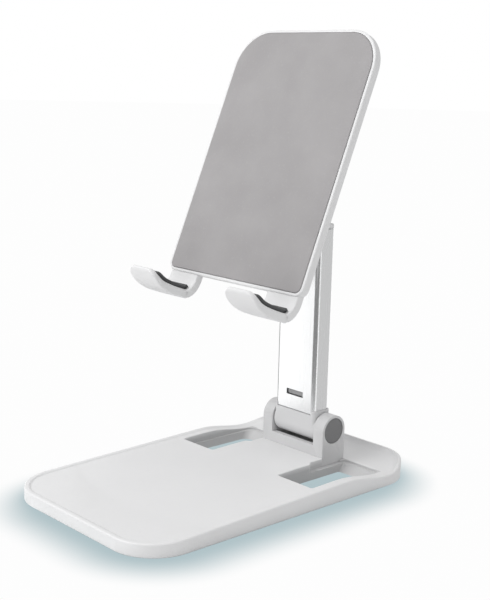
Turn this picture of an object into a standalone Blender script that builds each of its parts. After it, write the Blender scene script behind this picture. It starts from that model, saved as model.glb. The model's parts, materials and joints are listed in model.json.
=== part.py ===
"""Folding, telescoping desk stand for a phone: base tray, hinged column and tilting cradle.

Metres, +Z up, X across the stand, +Y to its rear. The table is z = 0 and the base is centred on x = y = 0.
The stand is held in its working pose: column upright, slider pulled out, cradle leaning back.
"""
import math

import bmesh
import bpy
from mathutils import Matrix, Vector
from mathutils.geometry import tessellate_polygon

# Clearances
GAP = 0.0003
FINE_GAP = 0.00015
CUT_OVER = 0.002

# Base tray: a thin wedge that dips to a low platform at the rear, inside a raised rear lip
BASE_WIDTH = 0.0682
BASE_LENGTH = 0.1104
BASE_CORNER = 0.0140
BASE_UNDERSIDE = 0.00015
RIM_FRONT = 0.00415
RIM_SLOPE = 0.0235
RIM_HIGHEST = 0.00590
RIM_BAND = 0.0015
RIM_STEP = 0.0007
RIM_OVER_PLATFORM = 0.0002
RIM_EDGE_RADIUS = 0.0005
FLOOR_DROP = 0.0004
DIP_START = 0.0770
DIP_END = 0.0955
DIP_ROWS = (0.0770, 0.0800, 0.0825, 0.0850, 0.0875, 0.0900, 0.0925)
PLATFORM = 0.0035
LIP_TOP = 0.00615
LIP_BAND = 0.0012
COVE_DEPTH = 0.0080
LIP_FADE_START = 0.0970
LIP_FADE_END = 0.1085

# Strip between the cutouts: it stays high until it is under the hinge fork
STRIP_HALF_WIDTH = 0.0156
STRIP_DIP_START = 0.0875
STRIP_DIP_END = 0.0925

# Hook cutouts, one either side of the hinge fork; below a step their walls slope in to the table
CUTOUT_INNER = 0.0153
CUTOUT_OUTER = 0.0299
CUTOUT_FRONT = 0.0655
CUTOUT_REAR = 0.0968
CUTOUT_JOG = 0.0805
CUTOUT_INNER_REAR = 0.01391
CUTOUT_REAR_RADIUS = 0.0035
CUTOUT_FORK_RADIUS = 0.0028
CUTOUT_FRONT_RADIUS = 0.0006
CUTOUT_REAR_SLANT = 0.00006
CUTOUT_STEP = 0.0028
CUTOUT_LEDGE = 0.0006
CUTOUT_INNER_LEDGE = 0.00006
CUTOUT_LEDGE_DROP = 0.00015
CUTOUT_FOOT_INNER = 0.0154
CUTOUT_FOOT_OUTER = 0.0289
CUTOUT_FOOT_FRONT = 0.0675
CUTOUT_FOOT_REAR = 0.0932

# Underside: bottom cover, ballast plate and anti-slip pads
COVER_HALF_WIDTH = 0.0312
COVER_FRONT = 0.0030
COVER_REAR = 0.0628
COVER_CORNER = 0.0110
COVER_THICKNESS = 0.0011
CAVITY_ROOF = 0.0025
BALLAST_HALF_WIDTH = 0.0275
BALLAST_FRONT = 0.0240
BALLAST_REAR = 0.0575
BALLAST_THICKNESS = 0.0014
BALLAST_ROOF = 0.0035
BALLAST_CORNER = 0.0040
PAD_THICKNESS = 0.0009
COVER_SCREW_X = 0.0255
COVER_SCREW_FRONT = 0.0185
COVER_SCREW_REAR = 0.0598
COVER_SCREW_SEAT = 0.00075
COVER_SCREW_TIP = 0.0032
COVER_SCREW_HEAD = 0.0016
COVER_SCREW_SHANK = 0.00075
PAD_CORNER = 0.0022

# Lower hinge
HINGE_Y = 0.09175
HINGE_Z = 0.01373
FORK_HALF_WIDTH = 0.01376
FORK_SLOT_HALF = 0.0095
FORK_FRONT = 0.0867
FORK_REAR = 0.0968
FORK_SEAT = 0.0020
FORK_BAR_TOP = 0.0089
FORK_TROUGH = 0.0060
FORK_BAR_DEPTH = 0.0018
FORK_REAR_WALL = 0.0012
FORK_SCREW_X = 0.0116
FORK_SCREW_Y = 0.5 * (FORK_FRONT + FORK_REAR)
FORK_SCREW_SEAT = 0.0011
FORK_SCREW_TIP = 0.0072
FORK_SCREW_HEAD = 0.0021
FORK_SCREW_SHANK = 0.00085
BARREL_RADIUS = 0.00465
BARREL_HALF = 0.0092
AXLE_RADIUS = 0.0015
CAP_RADIUS = 0.0041
CAP_THICKNESS = 0.0008
NUT_FLAT_RADIUS = 0.0027
NUT_THICKNESS = 0.0015
NUT_POCKET_RADIUS = 0.0034
SPRING_RADIUS = 0.0028
SPRING_THICKNESS = 0.0004

# Column: outer tube on the knuckle, slider inside it
TUBE_HALF_WIDTH = 0.0088
TUBE_FRONT = 0.0872
TUBE_REAR = 0.0943
TUBE_CORNER = 0.0015
TUBE_WALL = 0.0011
TUBE_FOOT = 0.0185
TUBE_TOP = 0.0785
SOCKET_HALF_WIDTH = 0.0091
SOCKET_REAR = 0.0947
SOCKET_TOP = 0.0197
PLUG_TOP = 0.0300
WINDOW_HALF = 0.0037
WINDOW_LOW = 0.0232
WINDOW_HIGH = 0.0251
SLIDER_FOOT = 0.0606
SLIDER_HALF_WIDTH = 0.0072
SLIDER_THICKNESS = 0.0038
COLLAR_HEIGHT = 0.0016
CLIP_LOW = 0.0207
CLIP_HIGH = 0.0287
CLIP_HALF = 0.0033
CLIP_LEAF = 0.0007
CLIP_ROOM_DEPTH = 0.0011
SPRING_POCKET_LOW = 0.0010
SPRING_POCKET_HIGH = 0.0130
SPRING_POCKET_HALF = 0.0032
SPRING_LEAF = 0.00022
SPRING_SEAT = 0.00115
SPRING_PRELOAD_GAP = 0.00003

# Slider head: heights measured down from the pivot
HEAD_HALF_DEPTH = 0.0031
HEAD_SKIRT_HALF = 0.0085
HEAD_FOOT = 0.0152
HEAD_SHOULDER = 0.0075
HEAD_SLIDER_TOP = 0.0090
HEAD_PIN_DROP = 0.0120
HEAD_PIN_RADIUS = 0.00065

# Cradle: measured in its own frame, x across, s up the plate from the phone's lower edge, w out of its face
CRADLE_TILT = math.radians(22.58)
CRADLE_Y = 0.05684
CRADLE_Z = 0.06214
PLATE_HALF_WIDTH = 0.0300
PLATE_TOP = 0.0838
PLATE_FOOT = 0.0020
PLATE_TOP_RADIUS = 0.0125
PLATE_FOOT_RADIUS = 0.0030
PLATE_FACE = -0.00025
PLATE_BACK = -0.0034
PAD_INSET = 0.0009
PAD_FLOOR = -0.0012
CRADLE_PAD_THICKNESS = 0.00105
HOOK_INNER = 0.01567
HOOK_OUTER = 0.02862
HOOK_WALL = 0.0027
HOOK_LIP_RADIUS = 0.0035
HOOK_LIP_NARROWING = 0.93
HOOK_LINER_THICKNESS = 0.0010
HOOK_LINER_INSET = 0.0010
HOOK_ROOT = 0.0060
HOOK_BEND_OUT = 0.0042
HOOK_BEND_DOWN = 0.0058
HOOK_BEND_S = 0.0008
HOOK_BEND_SWEEP = math.radians(78)
HOOK_TROUGH = ((0.0060, -0.0051), (0.0085, -0.0050), (0.0107, -0.0047))
HOOK_LIP = ((0.0126, -0.0041), (0.0141, -0.0033), (0.0153, -0.0024), (0.0163, -0.0014))
PIVOT_S = 0.07215
PIVOT_W = -0.0078
LUG_INNER = 0.0063
LUG_OUTER = 0.0103
LUG_RADIUS = 0.0039
KNUCKLE_HALF = 0.0060
YOKE_HALF_WIDTH = 0.0145
YOKE_FOOT = 0.0585
YOKE_TOP = 0.0805
YOKE_FACE = -0.0020
YOKE_BACK = -0.0032
YOKE_SCREW_X = 0.0118
YOKE_SCREW_LOW = 0.0615
YOKE_SCREW_HIGH = 0.0775
YOKE_BOSS_RADIUS = 0.0020
YOKE_BOSS_HEIGHT = 0.0012
YOKE_SCREW_HEAD = 0.0015
YOKE_SCREW_SHANK = 0.00075
LUG_ROOT = 0.0062
CHANNEL_HALF_WIDTH = 0.0096
CHANNEL_DEPTH = 0.0005

# Finishes: linear red, green and blue, then roughness and metallic
WHITE_PLASTIC = (0.80, 0.80, 0.81, 0.45, 0.0)
GREY_WHITE_PLASTIC = (0.74, 0.74, 0.745, 0.45, 0.0)
CLIP_PLASTIC = (0.35, 0.35, 0.36, 0.5, 0.0)
CAP_PLASTIC = (0.17, 0.17, 0.175, 0.5, 0.0)
PAD_SILICONE = (0.42, 0.41, 0.42, 0.7, 0.0)
LINER_SILICONE = (0.06, 0.06, 0.065, 0.75, 0.0)
FOOT_SILICONE = (0.20, 0.20, 0.21, 0.8, 0.0)
ALUMINIUM = (0.82, 0.83, 0.84, 0.25, 1.0)
STEEL = (0.55, 0.55, 0.56, 0.3, 1.0)
DARK_STEEL = (0.22, 0.22, 0.23, 0.45, 1.0)

ARC = 10
ROUND = 32


def along(y):
    """World y of a distance measured back from the front edge of the base."""
    return y - BASE_LENGTH / 2


HINGE = Vector((0.0, along(HINGE_Y), HINGE_Z))
CRADLE_FRAME = Matrix(
    (
        (1.0, 0.0, 0.0, 0.0),
        (0.0, math.sin(CRADLE_TILT), -math.cos(CRADLE_TILT), along(CRADLE_Y)),
        (0.0, math.cos(CRADLE_TILT), math.sin(CRADLE_TILT), CRADLE_Z),
        (0.0, 0.0, 0.0, 1.0),
    )
)
PIVOT = CRADLE_FRAME @ Vector((0.0, PIVOT_S, PIVOT_W))
TUBE_MIDDLE = 0.5 * (along(TUBE_FRONT) + along(TUBE_REAR))


# Meshes -------------------------------------------------------------------------------------------


def smoothstep(low, high, value):
    t = min(max((value - low) / (high - low), 0.0), 1.0)
    return t * t * (3 - 2 * t)


def rectangle(x0, x1, y0, y1, radii, steps=ARC):
    """Anticlockwise rectangle whose corners, from the lower right on, have the given radii."""
    if not isinstance(radii, (tuple, list)):
        radii = (radii,) * 4
    corners = ((x1, y0, -1, 1), (x1, y1, -1, -1), (x0, y1, 1, -1), (x0, y0, 1, 1))
    points = []
    for turn, ((x, y, inward_x, inward_y), radius) in enumerate(zip(corners, radii)):
        if radius == 0:
            points.append((x, y))
            continue
        for step in range(steps + 1):
            angle = math.pi / 2 * (turn - 1 + step / steps)
            centre = (x + inward_x * radius, y + inward_y * radius)
            points.append((centre[0] + radius * math.cos(angle), centre[1] + radius * math.sin(angle)))
    return points


def circle(x, y, radius, steps=ROUND):
    angles = [2 * math.pi * step / steps for step in range(steps)]
    return [(x + radius * math.cos(angle), y + radius * math.sin(angle)) for angle in angles]


def mirrored(points):
    """The outline reflected across x = 0, still anticlockwise."""
    return [(-x, y) for x, y in reversed(points)]


def placed(axis, u, v, t):
    """The point at t along an axis: u, v are x, y across z; x, z across y; and y, z across x."""
    if axis == "z":
        return Vector((u, v, t))
    if axis == "y":
        return Vector((u, t, v))
    return Vector((t, u, v))


def prism(bm, loops, low, high, axis="z"):
    """A closed prism between two heights on an axis; loops after the first are holes."""
    rings = []
    for t in (low, high):
        rings.append([[bm.verts.new(placed(axis, u, v, t)) for u, v in loop] for loop in loops])
    flat = [[vert for loop in ring for vert in loop] for ring in rings]
    triangles = tessellate_polygon([[Vector((u, v, 0.0)) for u, v in loop] for loop in loops])
    faces = []
    for side in flat:
        if len(loops) == 1:
            faces.append(bm.faces.new(side))
        else:
            faces.extend(bm.faces.new([side[index] for index in triangle]) for triangle in triangles)
    for lower, upper in zip(*rings):
        for index in range(len(lower)):
            after = (index + 1) % len(lower)
            faces.append(bm.faces.new((lower[index], lower[after], upper[after], upper[index])))
    bmesh.ops.recalc_face_normals(bm, faces=faces)


def lathe(bm, profile, centre, axis="x", steps=ROUND):
    """A solid of revolution: profile points are (distance along the axis, radius), ends at radius 0."""
    rings = []
    for t, radius in profile:
        ring = circle(0.0, 0.0, radius, steps) if radius else [(0.0, 0.0)]
        rings.append([bm.verts.new(centre + placed(axis, u, v, t)) for u, v in ring])
    faces = []
    for one, two in zip(rings, rings[1:]):
        for step in range(steps):
            after = (step + 1) % steps
            around = ((one, step), (one, after), (two, after), (two, step))
            corners = [ring[index % len(ring)] for ring, index in around]
            faces.append(bm.faces.new(list(dict.fromkeys(corners))))
    bmesh.ops.recalc_face_normals(bm, faces=faces)


def counterbore(low, floor, top, wide, narrow):
    """Lathe profile of a stepped hole that opens at its low end."""
    return ((low, 0.0), (low, wide), (floor, wide), (floor, narrow), (top, narrow), (top, 0.0))


def screw_profile(low, seat, tip, head, shank):
    """Lathe profile of a screw that points up: drive recess, head from low to seat, shank to the tip."""
    recess = low + 0.6 * (seat - low)
    drive = 0.4 * head
    return (
        (recess, 0.0),
        (recess, drive),
        (low, drive),
        (low, head),
        (seat, head),
        (seat, shank),
        (tip, shank),
        (tip, 0.0),
    )


def washer(bm, centre, inner, outer, low, high):
    """A flat ring around an axis along x."""
    outline = circle(centre.y, centre.z, outer)
    hole = circle(centre.y, centre.z, inner)
    prism(bm, [outline, hole], low, high, "x")


def loft(bm, sections):
    """A closed solid through sections that all have the same number of points."""
    rings = [[bm.verts.new(point) for point in section] for section in sections]
    faces = [bm.faces.new(rings[0]), bm.faces.new(rings[-1])]
    for one, two in zip(rings, rings[1:]):
        for index in range(len(one)):
            after = (index + 1) % len(one)
            faces.append(bm.faces.new((one[index], one[after], two[after], two[index])))
    bmesh.ops.recalc_face_normals(bm, faces=faces)


# Objects ------------------------------------------------------------------------------------------


def new_object(name, bm, origin, frame=None):
    """An object whose mesh is measured from the given origin."""
    if frame is not None:
        bmesh.ops.transform(bm, matrix=frame, verts=bm.verts[:])
    bmesh.ops.translate(bm, vec=-origin, verts=bm.verts[:])
    mesh = bpy.data.meshes.new(name)
    bm.to_mesh(mesh)
    bm.free()
    obj = bpy.data.objects.new(name, mesh)
    obj.location = origin
    bpy.context.scene.collection.objects.link(obj)
    return obj


def piece(name, bm, origin, finish, frame=None):
    """A rendered piece with its own material, shaded smooth on round faces."""
    obj = new_object(name, bm, origin, frame)
    obj.data.materials.append(new_material(name, finish))
    for polygon in obj.data.polygons:
        polygon.use_smooth = True
    obj.data.set_sharp_from_angle(angle=math.radians(35))
    return obj


def helper(name, bm, origin, frame=None):
    """A cutter or a lump to join on: never rendered."""
    obj = new_object(name, bm, origin, frame)
    obj.hide_render = True
    obj.display_type = "WIRE"
    return obj


def combine(obj, other, operation):
    modifier = obj.modifiers.new(operation.title(), "BOOLEAN")
    modifier.operation = operation
    modifier.solver = "EXACT"
    modifier.object = other


def new_material(name, finish):
    material = bpy.data.materials.new(name + "_finish")
    material.use_nodes = True
    shader = material.node_tree.nodes["Principled BSDF"]
    shader.inputs["Base Color"].default_value = (*finish[:3], 1.0)
    shader.inputs["Roughness"].default_value = finish[3]
    shader.inputs["Metallic"].default_value = finish[4]
    material.diffuse_color = (*finish[:3], 1.0)
    return material


# Base ---------------------------------------------------------------------------------------------


def base_outline(inset):
    """The tray's outline moved inwards, with extra points down the sides where the rim dips."""
    half = BASE_WIDTH / 2 - inset
    front, rear = inset, BASE_LENGTH - inset
    radius = BASE_CORNER - inset
    corners = rectangle(-half, half, front, rear, radius)
    count = ARC + 1
    side = (0.030, 0.050, 0.070, *DIP_ROWS)
    right = [(half, y) for y in side]
    left = [(-half, y) for y in reversed(side)]
    back = [(x, rear) for x in (0.010, 0.0, -0.010)]
    points = corners[:count] + right + corners[count : 2 * count] + back
    points += corners[2 * count : 3 * count] + left + corners[3 * count :]
    return points


def rim_height(y):
    rising = min(RIM_FRONT + RIM_SLOPE * y, RIM_HIGHEST)
    return rising + (PLATFORM + RIM_OVER_PLATFORM - rising) * smoothstep(DIP_START, DIP_END, y)


def floor_height(x, y):
    rising = min(RIM_FRONT + RIM_SLOPE * y, RIM_HIGHEST) - FLOOR_DROP
    start, end = (STRIP_DIP_START, STRIP_DIP_END) if abs(x) < STRIP_HALF_WIDTH else (DIP_START, DIP_END)
    return rising + (PLATFORM - rising) * smoothstep(start, end, y)


def edge_depth(x, y):
    """Distance inwards from the tray's outline, and the y of the nearest point on it."""
    half = BASE_WIDTH / 2
    over_x = abs(x) - (half - BASE_CORNER)
    over_y = max(y - (BASE_LENGTH - BASE_CORNER), BASE_CORNER - y)
    if over_x > 0 and over_y > 0:
        reach = math.hypot(over_x, over_y)
        near_y = BASE_LENGTH - BASE_CORNER * (1 - over_y / reach)
        return BASE_CORNER - reach, near_y
    if over_x > over_y:
        return half - abs(x), y
    return min(y, BASE_LENGTH - y), BASE_LENGTH


def tray_height(x, y):
    """Height of the tray's upper surface: rim, floor, rear platform, cove and rear lip."""
    depth, near_y = edge_depth(x, y)
    blend = smoothstep(RIM_BAND, RIM_BAND + RIM_STEP, depth)
    height = rim_height(y) + (floor_height(x, y) - rim_height(y)) * blend
    if y > BASE_LENGTH / 2:
        cove = min(max((depth - LIP_BAND) / (COVE_DEPTH - LIP_BAND), 0.0), 1.0)
        rise = 1 - math.sqrt(1 - (1 - cove) ** 2)
        fade = smoothstep(LIP_FADE_START, LIP_FADE_END, near_y)
        height += (LIP_TOP - PLATFORM) * rise * fade
    depth = max(depth, 0.0)
    if depth < RIM_EDGE_RADIUS:
        height -= RIM_EDGE_RADIUS - math.sqrt(RIM_EDGE_RADIUS**2 - (RIM_EDGE_RADIUS - depth) ** 2)
    return height


def cutout_outline():
    """The right-hand hook cutout: square at the front, round at the rear, a jog beside the fork."""
    radii = (CUTOUT_FRONT_RADIUS, CUTOUT_REAR_RADIUS, CUTOUT_FORK_RADIUS, 0.0)
    corners = rectangle(CUTOUT_INNER_REAR, CUTOUT_OUTER, CUTOUT_FRONT, CUTOUT_REAR, radii, 6)
    outline = []
    for x, y in corners:
        slant = CUTOUT_REAR_SLANT * (CUTOUT_OUTER - x) / (CUTOUT_OUTER - CUTOUT_INNER_REAR)
        outline.append((x, y - slant if y > CUTOUT_JOG else y))
    jog = [
        (CUTOUT_INNER_REAR, CUTOUT_JOG + 0.0006),
        (CUTOUT_INNER, CUTOUT_JOG - 0.0006),
        (CUTOUT_INNER, CUTOUT_FRONT),
    ]
    return outline[:-1] + jog


def spread(value, span, new_span):
    """Moves a value from its place in one span to the matching place in another."""
    return new_span[0] + (new_span[1] - new_span[0]) * (value - span[0]) / (span[1] - span[0])


CUTOUT_SPAN_X = (CUTOUT_INNER, CUTOUT_OUTER)
CUTOUT_SPAN_Y = (CUTOUT_FRONT, CUTOUT_REAR)
LEDGE_SPAN_X = (CUTOUT_INNER + CUTOUT_INNER_LEDGE, CUTOUT_OUTER - CUTOUT_LEDGE)
LEDGE_SPAN_Y = (CUTOUT_FRONT + 2 * CUTOUT_LEDGE, CUTOUT_REAR - 2 * CUTOUT_LEDGE)


def cutout_step(x, y):
    """The ledge's inner edge: straight past the jog and a little inside the wall everywhere else."""
    step_x = spread(max(abs(x), CUTOUT_INNER), CUTOUT_SPAN_X, LEDGE_SPAN_X)
    step_y = spread(y, CUTOUT_SPAN_Y, LEDGE_SPAN_Y)
    return Vector((math.copysign(step_x, x), step_y, CUTOUT_STEP - CUTOUT_LEDGE_DROP))


def cutout_foot(x, y):
    """Where the wall below the ledge reaches the underside: wide enough for a hook to pass."""
    foot_x = spread(abs(x), LEDGE_SPAN_X, (CUTOUT_FOOT_INNER, CUTOUT_FOOT_OUTER))
    foot_y = spread(y, LEDGE_SPAN_Y, (CUTOUT_FOOT_FRONT, CUTOUT_FOOT_REAR))
    return Vector((math.copysign(foot_x, x), foot_y, BASE_UNDERSIDE))


def sink(bm, in_cutouts, place):
    """Extrudes the open edges round the cutouts, or round the tray, to where place puts them."""
    edges = []
    for edge in bm.edges:
        depth = min(edge_depth(vert.co.x, vert.co.y)[0] for vert in edge.verts)
        if len(edge.link_faces) == 1 and (depth > RIM_BAND) == in_cutouts:
            edges.append(edge)
    walls = bmesh.ops.extrude_edge_only(bm, edges=edges)["geom"]
    for vert in (item for item in walls if isinstance(item, bmesh.types.BMVert)):
        vert.co = place(vert.co.x, vert.co.y)


def tray_mesh():
    bm = bmesh.new()
    insets = (0.0, 0.00015, 0.0005, 0.0010, 0.0015, 0.0018, 0.0022, 0.0030, 0.0038)
    rings = [[bm.verts.new((x, y, 0.0)) for x, y in base_outline(inset)] for inset in insets]
    for outer, inner in zip(rings, rings[1:]):
        for index in range(len(outer)):
            after = (index + 1) % len(outer)
            bm.faces.new((outer[index], outer[after], inner[after], inner[index]))
    right = cutout_outline()
    holes = [[bm.verts.new((x, y, 0.0)) for x, y in loop] for loop in (right, mirrored(right))]
    loops = [rings[-1], *holes]
    verts = [vert for loop in loops for vert in loop]
    for triangle in tessellate_polygon([[vert.co for vert in loop] for loop in loops]):
        bm.faces.new([verts[index] for index in triangle])
    bmesh.ops.recalc_face_normals(bm, faces=bm.faces[:])
    lines = [(0, y) for y in (*DIP_ROWS, DIP_END, 0.099, 0.102, 0.104, 0.1055)]
    lines += [(x, 0) for x in (-0.027, -0.0235, -0.020, 0.0, 0.020, 0.0235, 0.027)]
    for x, y in lines:
        normal = (0, 1, 0) if y else (1, 0, 0)
        middles = [(face, face.calc_center_median()) for face in bm.faces]
        inside = [face for face, middle in middles if edge_depth(middle.x, middle.y)[0] > insets[-1]]
        region = list({item for face in inside for item in (*face.verts, *face.edges)}) + inside
        bmesh.ops.bisect_plane(bm, geom=region, dist=1e-6, plane_co=(x, y, 0), plane_no=normal)
    bmesh.ops.triangulate(bm, faces=[face for face in bm.faces if len(face.verts) > 4])
    for vert in bm.verts:
        vert.co.z = tray_height(vert.co.x, vert.co.y)
    sink(bm, True, lambda x, y: Vector((x, y, CUTOUT_STEP)))
    sink(bm, True, cutout_step)
    sink(bm, True, cutout_foot)
    sink(bm, False, lambda x, y: Vector((x, y, BASE_UNDERSIDE)))
    bottom = [edge for edge in bm.edges if len(edge.link_faces) == 1]
    bmesh.ops.triangle_fill(bm, use_beauty=True, edges=bottom)
    bmesh.ops.recalc_face_normals(bm, faces=bm.faces[:])
    bmesh.ops.translate(bm, vec=(0, along(0), 0), verts=bm.verts[:])
    return bm


def base_box(bm, x0, x1, y0, y1, low, high, radius=0.0):
    prism(bm, [rectangle(x0, x1, along(y0), along(y1), radius, 6)], low, high)


def cover_outline(grow=0.0):
    return rectangle(
        -COVER_HALF_WIDTH - grow,
        COVER_HALF_WIDTH + grow,
        along(COVER_FRONT - grow),
        along(COVER_REAR + grow),
        (COVER_CORNER, 0.002, 0.002, COVER_CORNER),
        8,
    )


def foot_areas():
    """Footprints of the three anti-slip pads: one across the front, two behind the cutouts."""
    return {
        "foot_pad_front": (-0.0200, 0.0200, 0.0065, 0.0130),
        "foot_pad_left": (-0.0245, -0.0080, 0.0995, 0.1060),
        "foot_pad_right": (0.0080, 0.0245, 0.0995, 0.1060),
    }


def cover_screws():
    places = {}
    for side, x in (("left", -COVER_SCREW_X), ("right", COVER_SCREW_X)):
        places["cover_screw_front_" + side] = (x, along(COVER_SCREW_FRONT))
        places["cover_screw_rear_" + side] = (x, along(COVER_SCREW_REAR))
    return places


def make_base_shell(finish):
    obj = piece("base_shell", tray_mesh(), Vector((0, 0, 0)), finish)
    bm = bmesh.new()
    prism(bm, [cover_outline(GAP)], -CUT_OVER, CAVITY_ROOF)
    combine(obj, helper("cut_cover_cavity", bm, Vector((0, 0, 0))), "DIFFERENCE")
    bm = bmesh.new()
    side = BALLAST_HALF_WIDTH + GAP
    front, rear = BALLAST_FRONT - GAP, BALLAST_REAR + GAP
    base_box(bm, -side, side, front, rear, CAVITY_ROOF - GAP, BALLAST_ROOF, BALLAST_CORNER)
    combine(obj, helper("cut_ballast_pocket", bm, Vector((0, 0, 0))), "DIFFERENCE")
    bm = bmesh.new()
    reach = FORK_HALF_WIDTH + GAP
    base_box(bm, -reach, reach, FORK_FRONT - FINE_GAP, FORK_REAR + FINE_GAP, FORK_SEAT, HINGE_Z)
    combine(obj, helper("cut_fork_seat", bm, Vector((0, 0, 0))), "DIFFERENCE")
    bm = bmesh.new()
    for x in (-FORK_SCREW_X, FORK_SCREW_X):
        centre = Vector((x, along(FORK_SCREW_Y), 0.0))
        room = counterbore(
            -CUT_OVER,
            FORK_SCREW_SEAT + FINE_GAP,
            FORK_SEAT + CUT_OVER,
            FORK_SCREW_HEAD + GAP,
            FORK_SCREW_SHANK + GAP,
        )
        lathe(bm, room, centre, "z", 20)
    for name in ("foot_pad_left", "foot_pad_right"):
        foot_recess(bm, name)
    for x, y in cover_screws().values():
        prism(bm, [circle(x, y, COVER_SCREW_SHANK + FINE_GAP, 16)], 0.001, COVER_SCREW_TIP + FINE_GAP)
    combine(obj, helper("cut_base_details", bm, Vector((0, 0, 0))), "DIFFERENCE")
    return obj


def foot_recess(bm, name):
    x0, x1, y0, y1 = foot_areas()[name]
    top = PAD_THICKNESS + FINE_GAP
    base_box(bm, x0 - GAP, x1 + GAP, y0 - GAP, y1 + GAP, -CUT_OVER, top, PAD_CORNER + GAP)


def make_bottom_cover(finish):
    bm = bmesh.new()
    top = BASE_UNDERSIDE + COVER_THICKNESS
    prism(bm, [cover_outline()], BASE_UNDERSIDE, top)
    obj = piece("bottom_cover", bm, Vector((0, 0, 0)), finish)
    bm = bmesh.new()
    foot_recess(bm, "foot_pad_front")
    for x, y in cover_screws().values():
        room = counterbore(
            -CUT_OVER,
            COVER_SCREW_SEAT + FINE_GAP,
            top + CUT_OVER,
            COVER_SCREW_HEAD + GAP,
            COVER_SCREW_SHANK + GAP,
        )
        lathe(bm, room, Vector((x, y, 0.0)), "z", 20)
    combine(obj, helper("cut_bottom_cover", bm, Vector((0, 0, 0))), "DIFFERENCE")
    return obj


def make_ballast(finish):
    bm = bmesh.new()
    low = BASE_UNDERSIDE + COVER_THICKNESS + GAP
    high = low + BALLAST_THICKNESS
    side = BALLAST_HALF_WIDTH
    base_box(bm, -side, side, BALLAST_FRONT, BALLAST_REAR, low, high, BALLAST_CORNER)
    return piece("ballast_plate", bm, Vector((0, 0, 0)), finish)


def make_foot_pads(finish):
    pads = []
    for name, (x0, x1, y0, y1) in foot_areas().items():
        bm = bmesh.new()
        base_box(bm, x0, x1, y0, y1, 0.0, PAD_THICKNESS, PAD_CORNER)
        pads.append(piece(name, bm, Vector((0, 0, 0)), finish))
    return pads


def make_cover_screws(finish):
    low = BASE_UNDERSIDE + 0.00005
    profile = screw_profile(low, COVER_SCREW_SEAT, COVER_SCREW_TIP, COVER_SCREW_HEAD, COVER_SCREW_SHANK)
    screws = []
    for name, (x, y) in cover_screws().items():
        bm = bmesh.new()
        lathe(bm, profile, Vector((x, y, 0.0)), "z", 20)
        screws.append(piece(name, bm, Vector((0, 0, 0)), finish))
    return screws


# Lower hinge --------------------------------------------------------------------------------------


def hinge_bore(bm, side, outer_face, steps=ROUND):
    """One ear's stepped bore along x: axle hole, spring and nut pocket, then the cap's seat."""
    cap_seat = outer_face - CAP_THICKNESS - FINE_GAP
    nut_floor = cap_seat - NUT_THICKNESS - SPRING_THICKNESS - 3 * FINE_GAP
    profile = (
        (outer_face - 0.006, 0.0),
        (outer_face - 0.006, AXLE_RADIUS + FINE_GAP),
        (nut_floor, AXLE_RADIUS + FINE_GAP),
        (nut_floor, NUT_POCKET_RADIUS),
        (cap_seat, NUT_POCKET_RADIUS),
        (cap_seat, CAP_RADIUS + FINE_GAP),
        (outer_face + CUT_OVER, CAP_RADIUS + FINE_GAP),
        (outer_face + CUT_OVER, 0.0),
    )
    lathe(bm, [(side * t, radius) for t, radius in profile], HINGE, "x", steps)


def make_fork(finish):
    bm = bmesh.new()
    low, high = FORK_SEAT + FINE_GAP, HINGE_Z + 0.0060
    outline = [
        (-FORK_HALF_WIDTH, low),
        (FORK_HALF_WIDTH, low),
        (FORK_HALF_WIDTH, high),
        (FORK_SLOT_HALF, high),
        (FORK_SLOT_HALF, FORK_BAR_TOP),
        (-FORK_SLOT_HALF, FORK_BAR_TOP),
        (-FORK_SLOT_HALF, high),
        (-FORK_HALF_WIDTH, high),
    ]
    prism(bm, [outline], along(FORK_FRONT) - CUT_OVER, along(FORK_REAR) + CUT_OVER, "y")
    obj = piece("hinge_fork", bm, HINGE, finish)
    bm = bmesh.new()
    radius = 0.5 * (FORK_REAR - FORK_FRONT)
    front, rear = along(FORK_FRONT), along(FORK_REAR)
    stadium = rectangle(front, rear, 0.0, HINGE_Z + radius, (0.0, radius * 0.9999, radius * 0.9999, 0.0), 12)
    prism(bm, [stadium], -0.03, 0.03, "x")
    combine(obj, helper("trim_fork_side", bm, HINGE), "INTERSECT")
    bm = bmesh.new()
    trough_front = along(FORK_FRONT + FORK_BAR_DEPTH)
    trough_rear = along(FORK_REAR - FORK_REAR_WALL)
    trough = rectangle(trough_front, trough_rear, FORK_TROUGH, high + CUT_OVER, 0)
    prism(bm, [trough], -FORK_SLOT_HALF, FORK_SLOT_HALF, "x")
    combine(obj, helper("cut_fork_trough", bm, HINGE), "DIFFERENCE")
    bm = bmesh.new()
    hinge_bore(bm, 1, FORK_HALF_WIDTH)
    hinge_bore(bm, -1, FORK_HALF_WIDTH)
    for x in (-FORK_SCREW_X, FORK_SCREW_X):
        bore = circle(x, along(FORK_SCREW_Y), FORK_SCREW_SHANK + FINE_GAP, 16)
        prism(bm, [bore], 0.0, FORK_SCREW_TIP + GAP)
    combine(obj, helper("cut_fork_bores", bm, HINGE), "DIFFERENCE")
    return obj


def make_fork_screws(finish):
    profile = screw_profile(
        BASE_UNDERSIDE, FORK_SCREW_SEAT, FORK_SCREW_TIP, FORK_SCREW_HEAD, FORK_SCREW_SHANK
    )
    screws = []
    for side, x in (("left", -FORK_SCREW_X), ("right", FORK_SCREW_X)):
        bm = bmesh.new()
        lathe(bm, profile, Vector((x, along(FORK_SCREW_Y), 0.0)), "z", 20)
        screws.append(piece("fork_screw_" + side, bm, Vector((0, 0, 0)), finish))
    return screws


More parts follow.
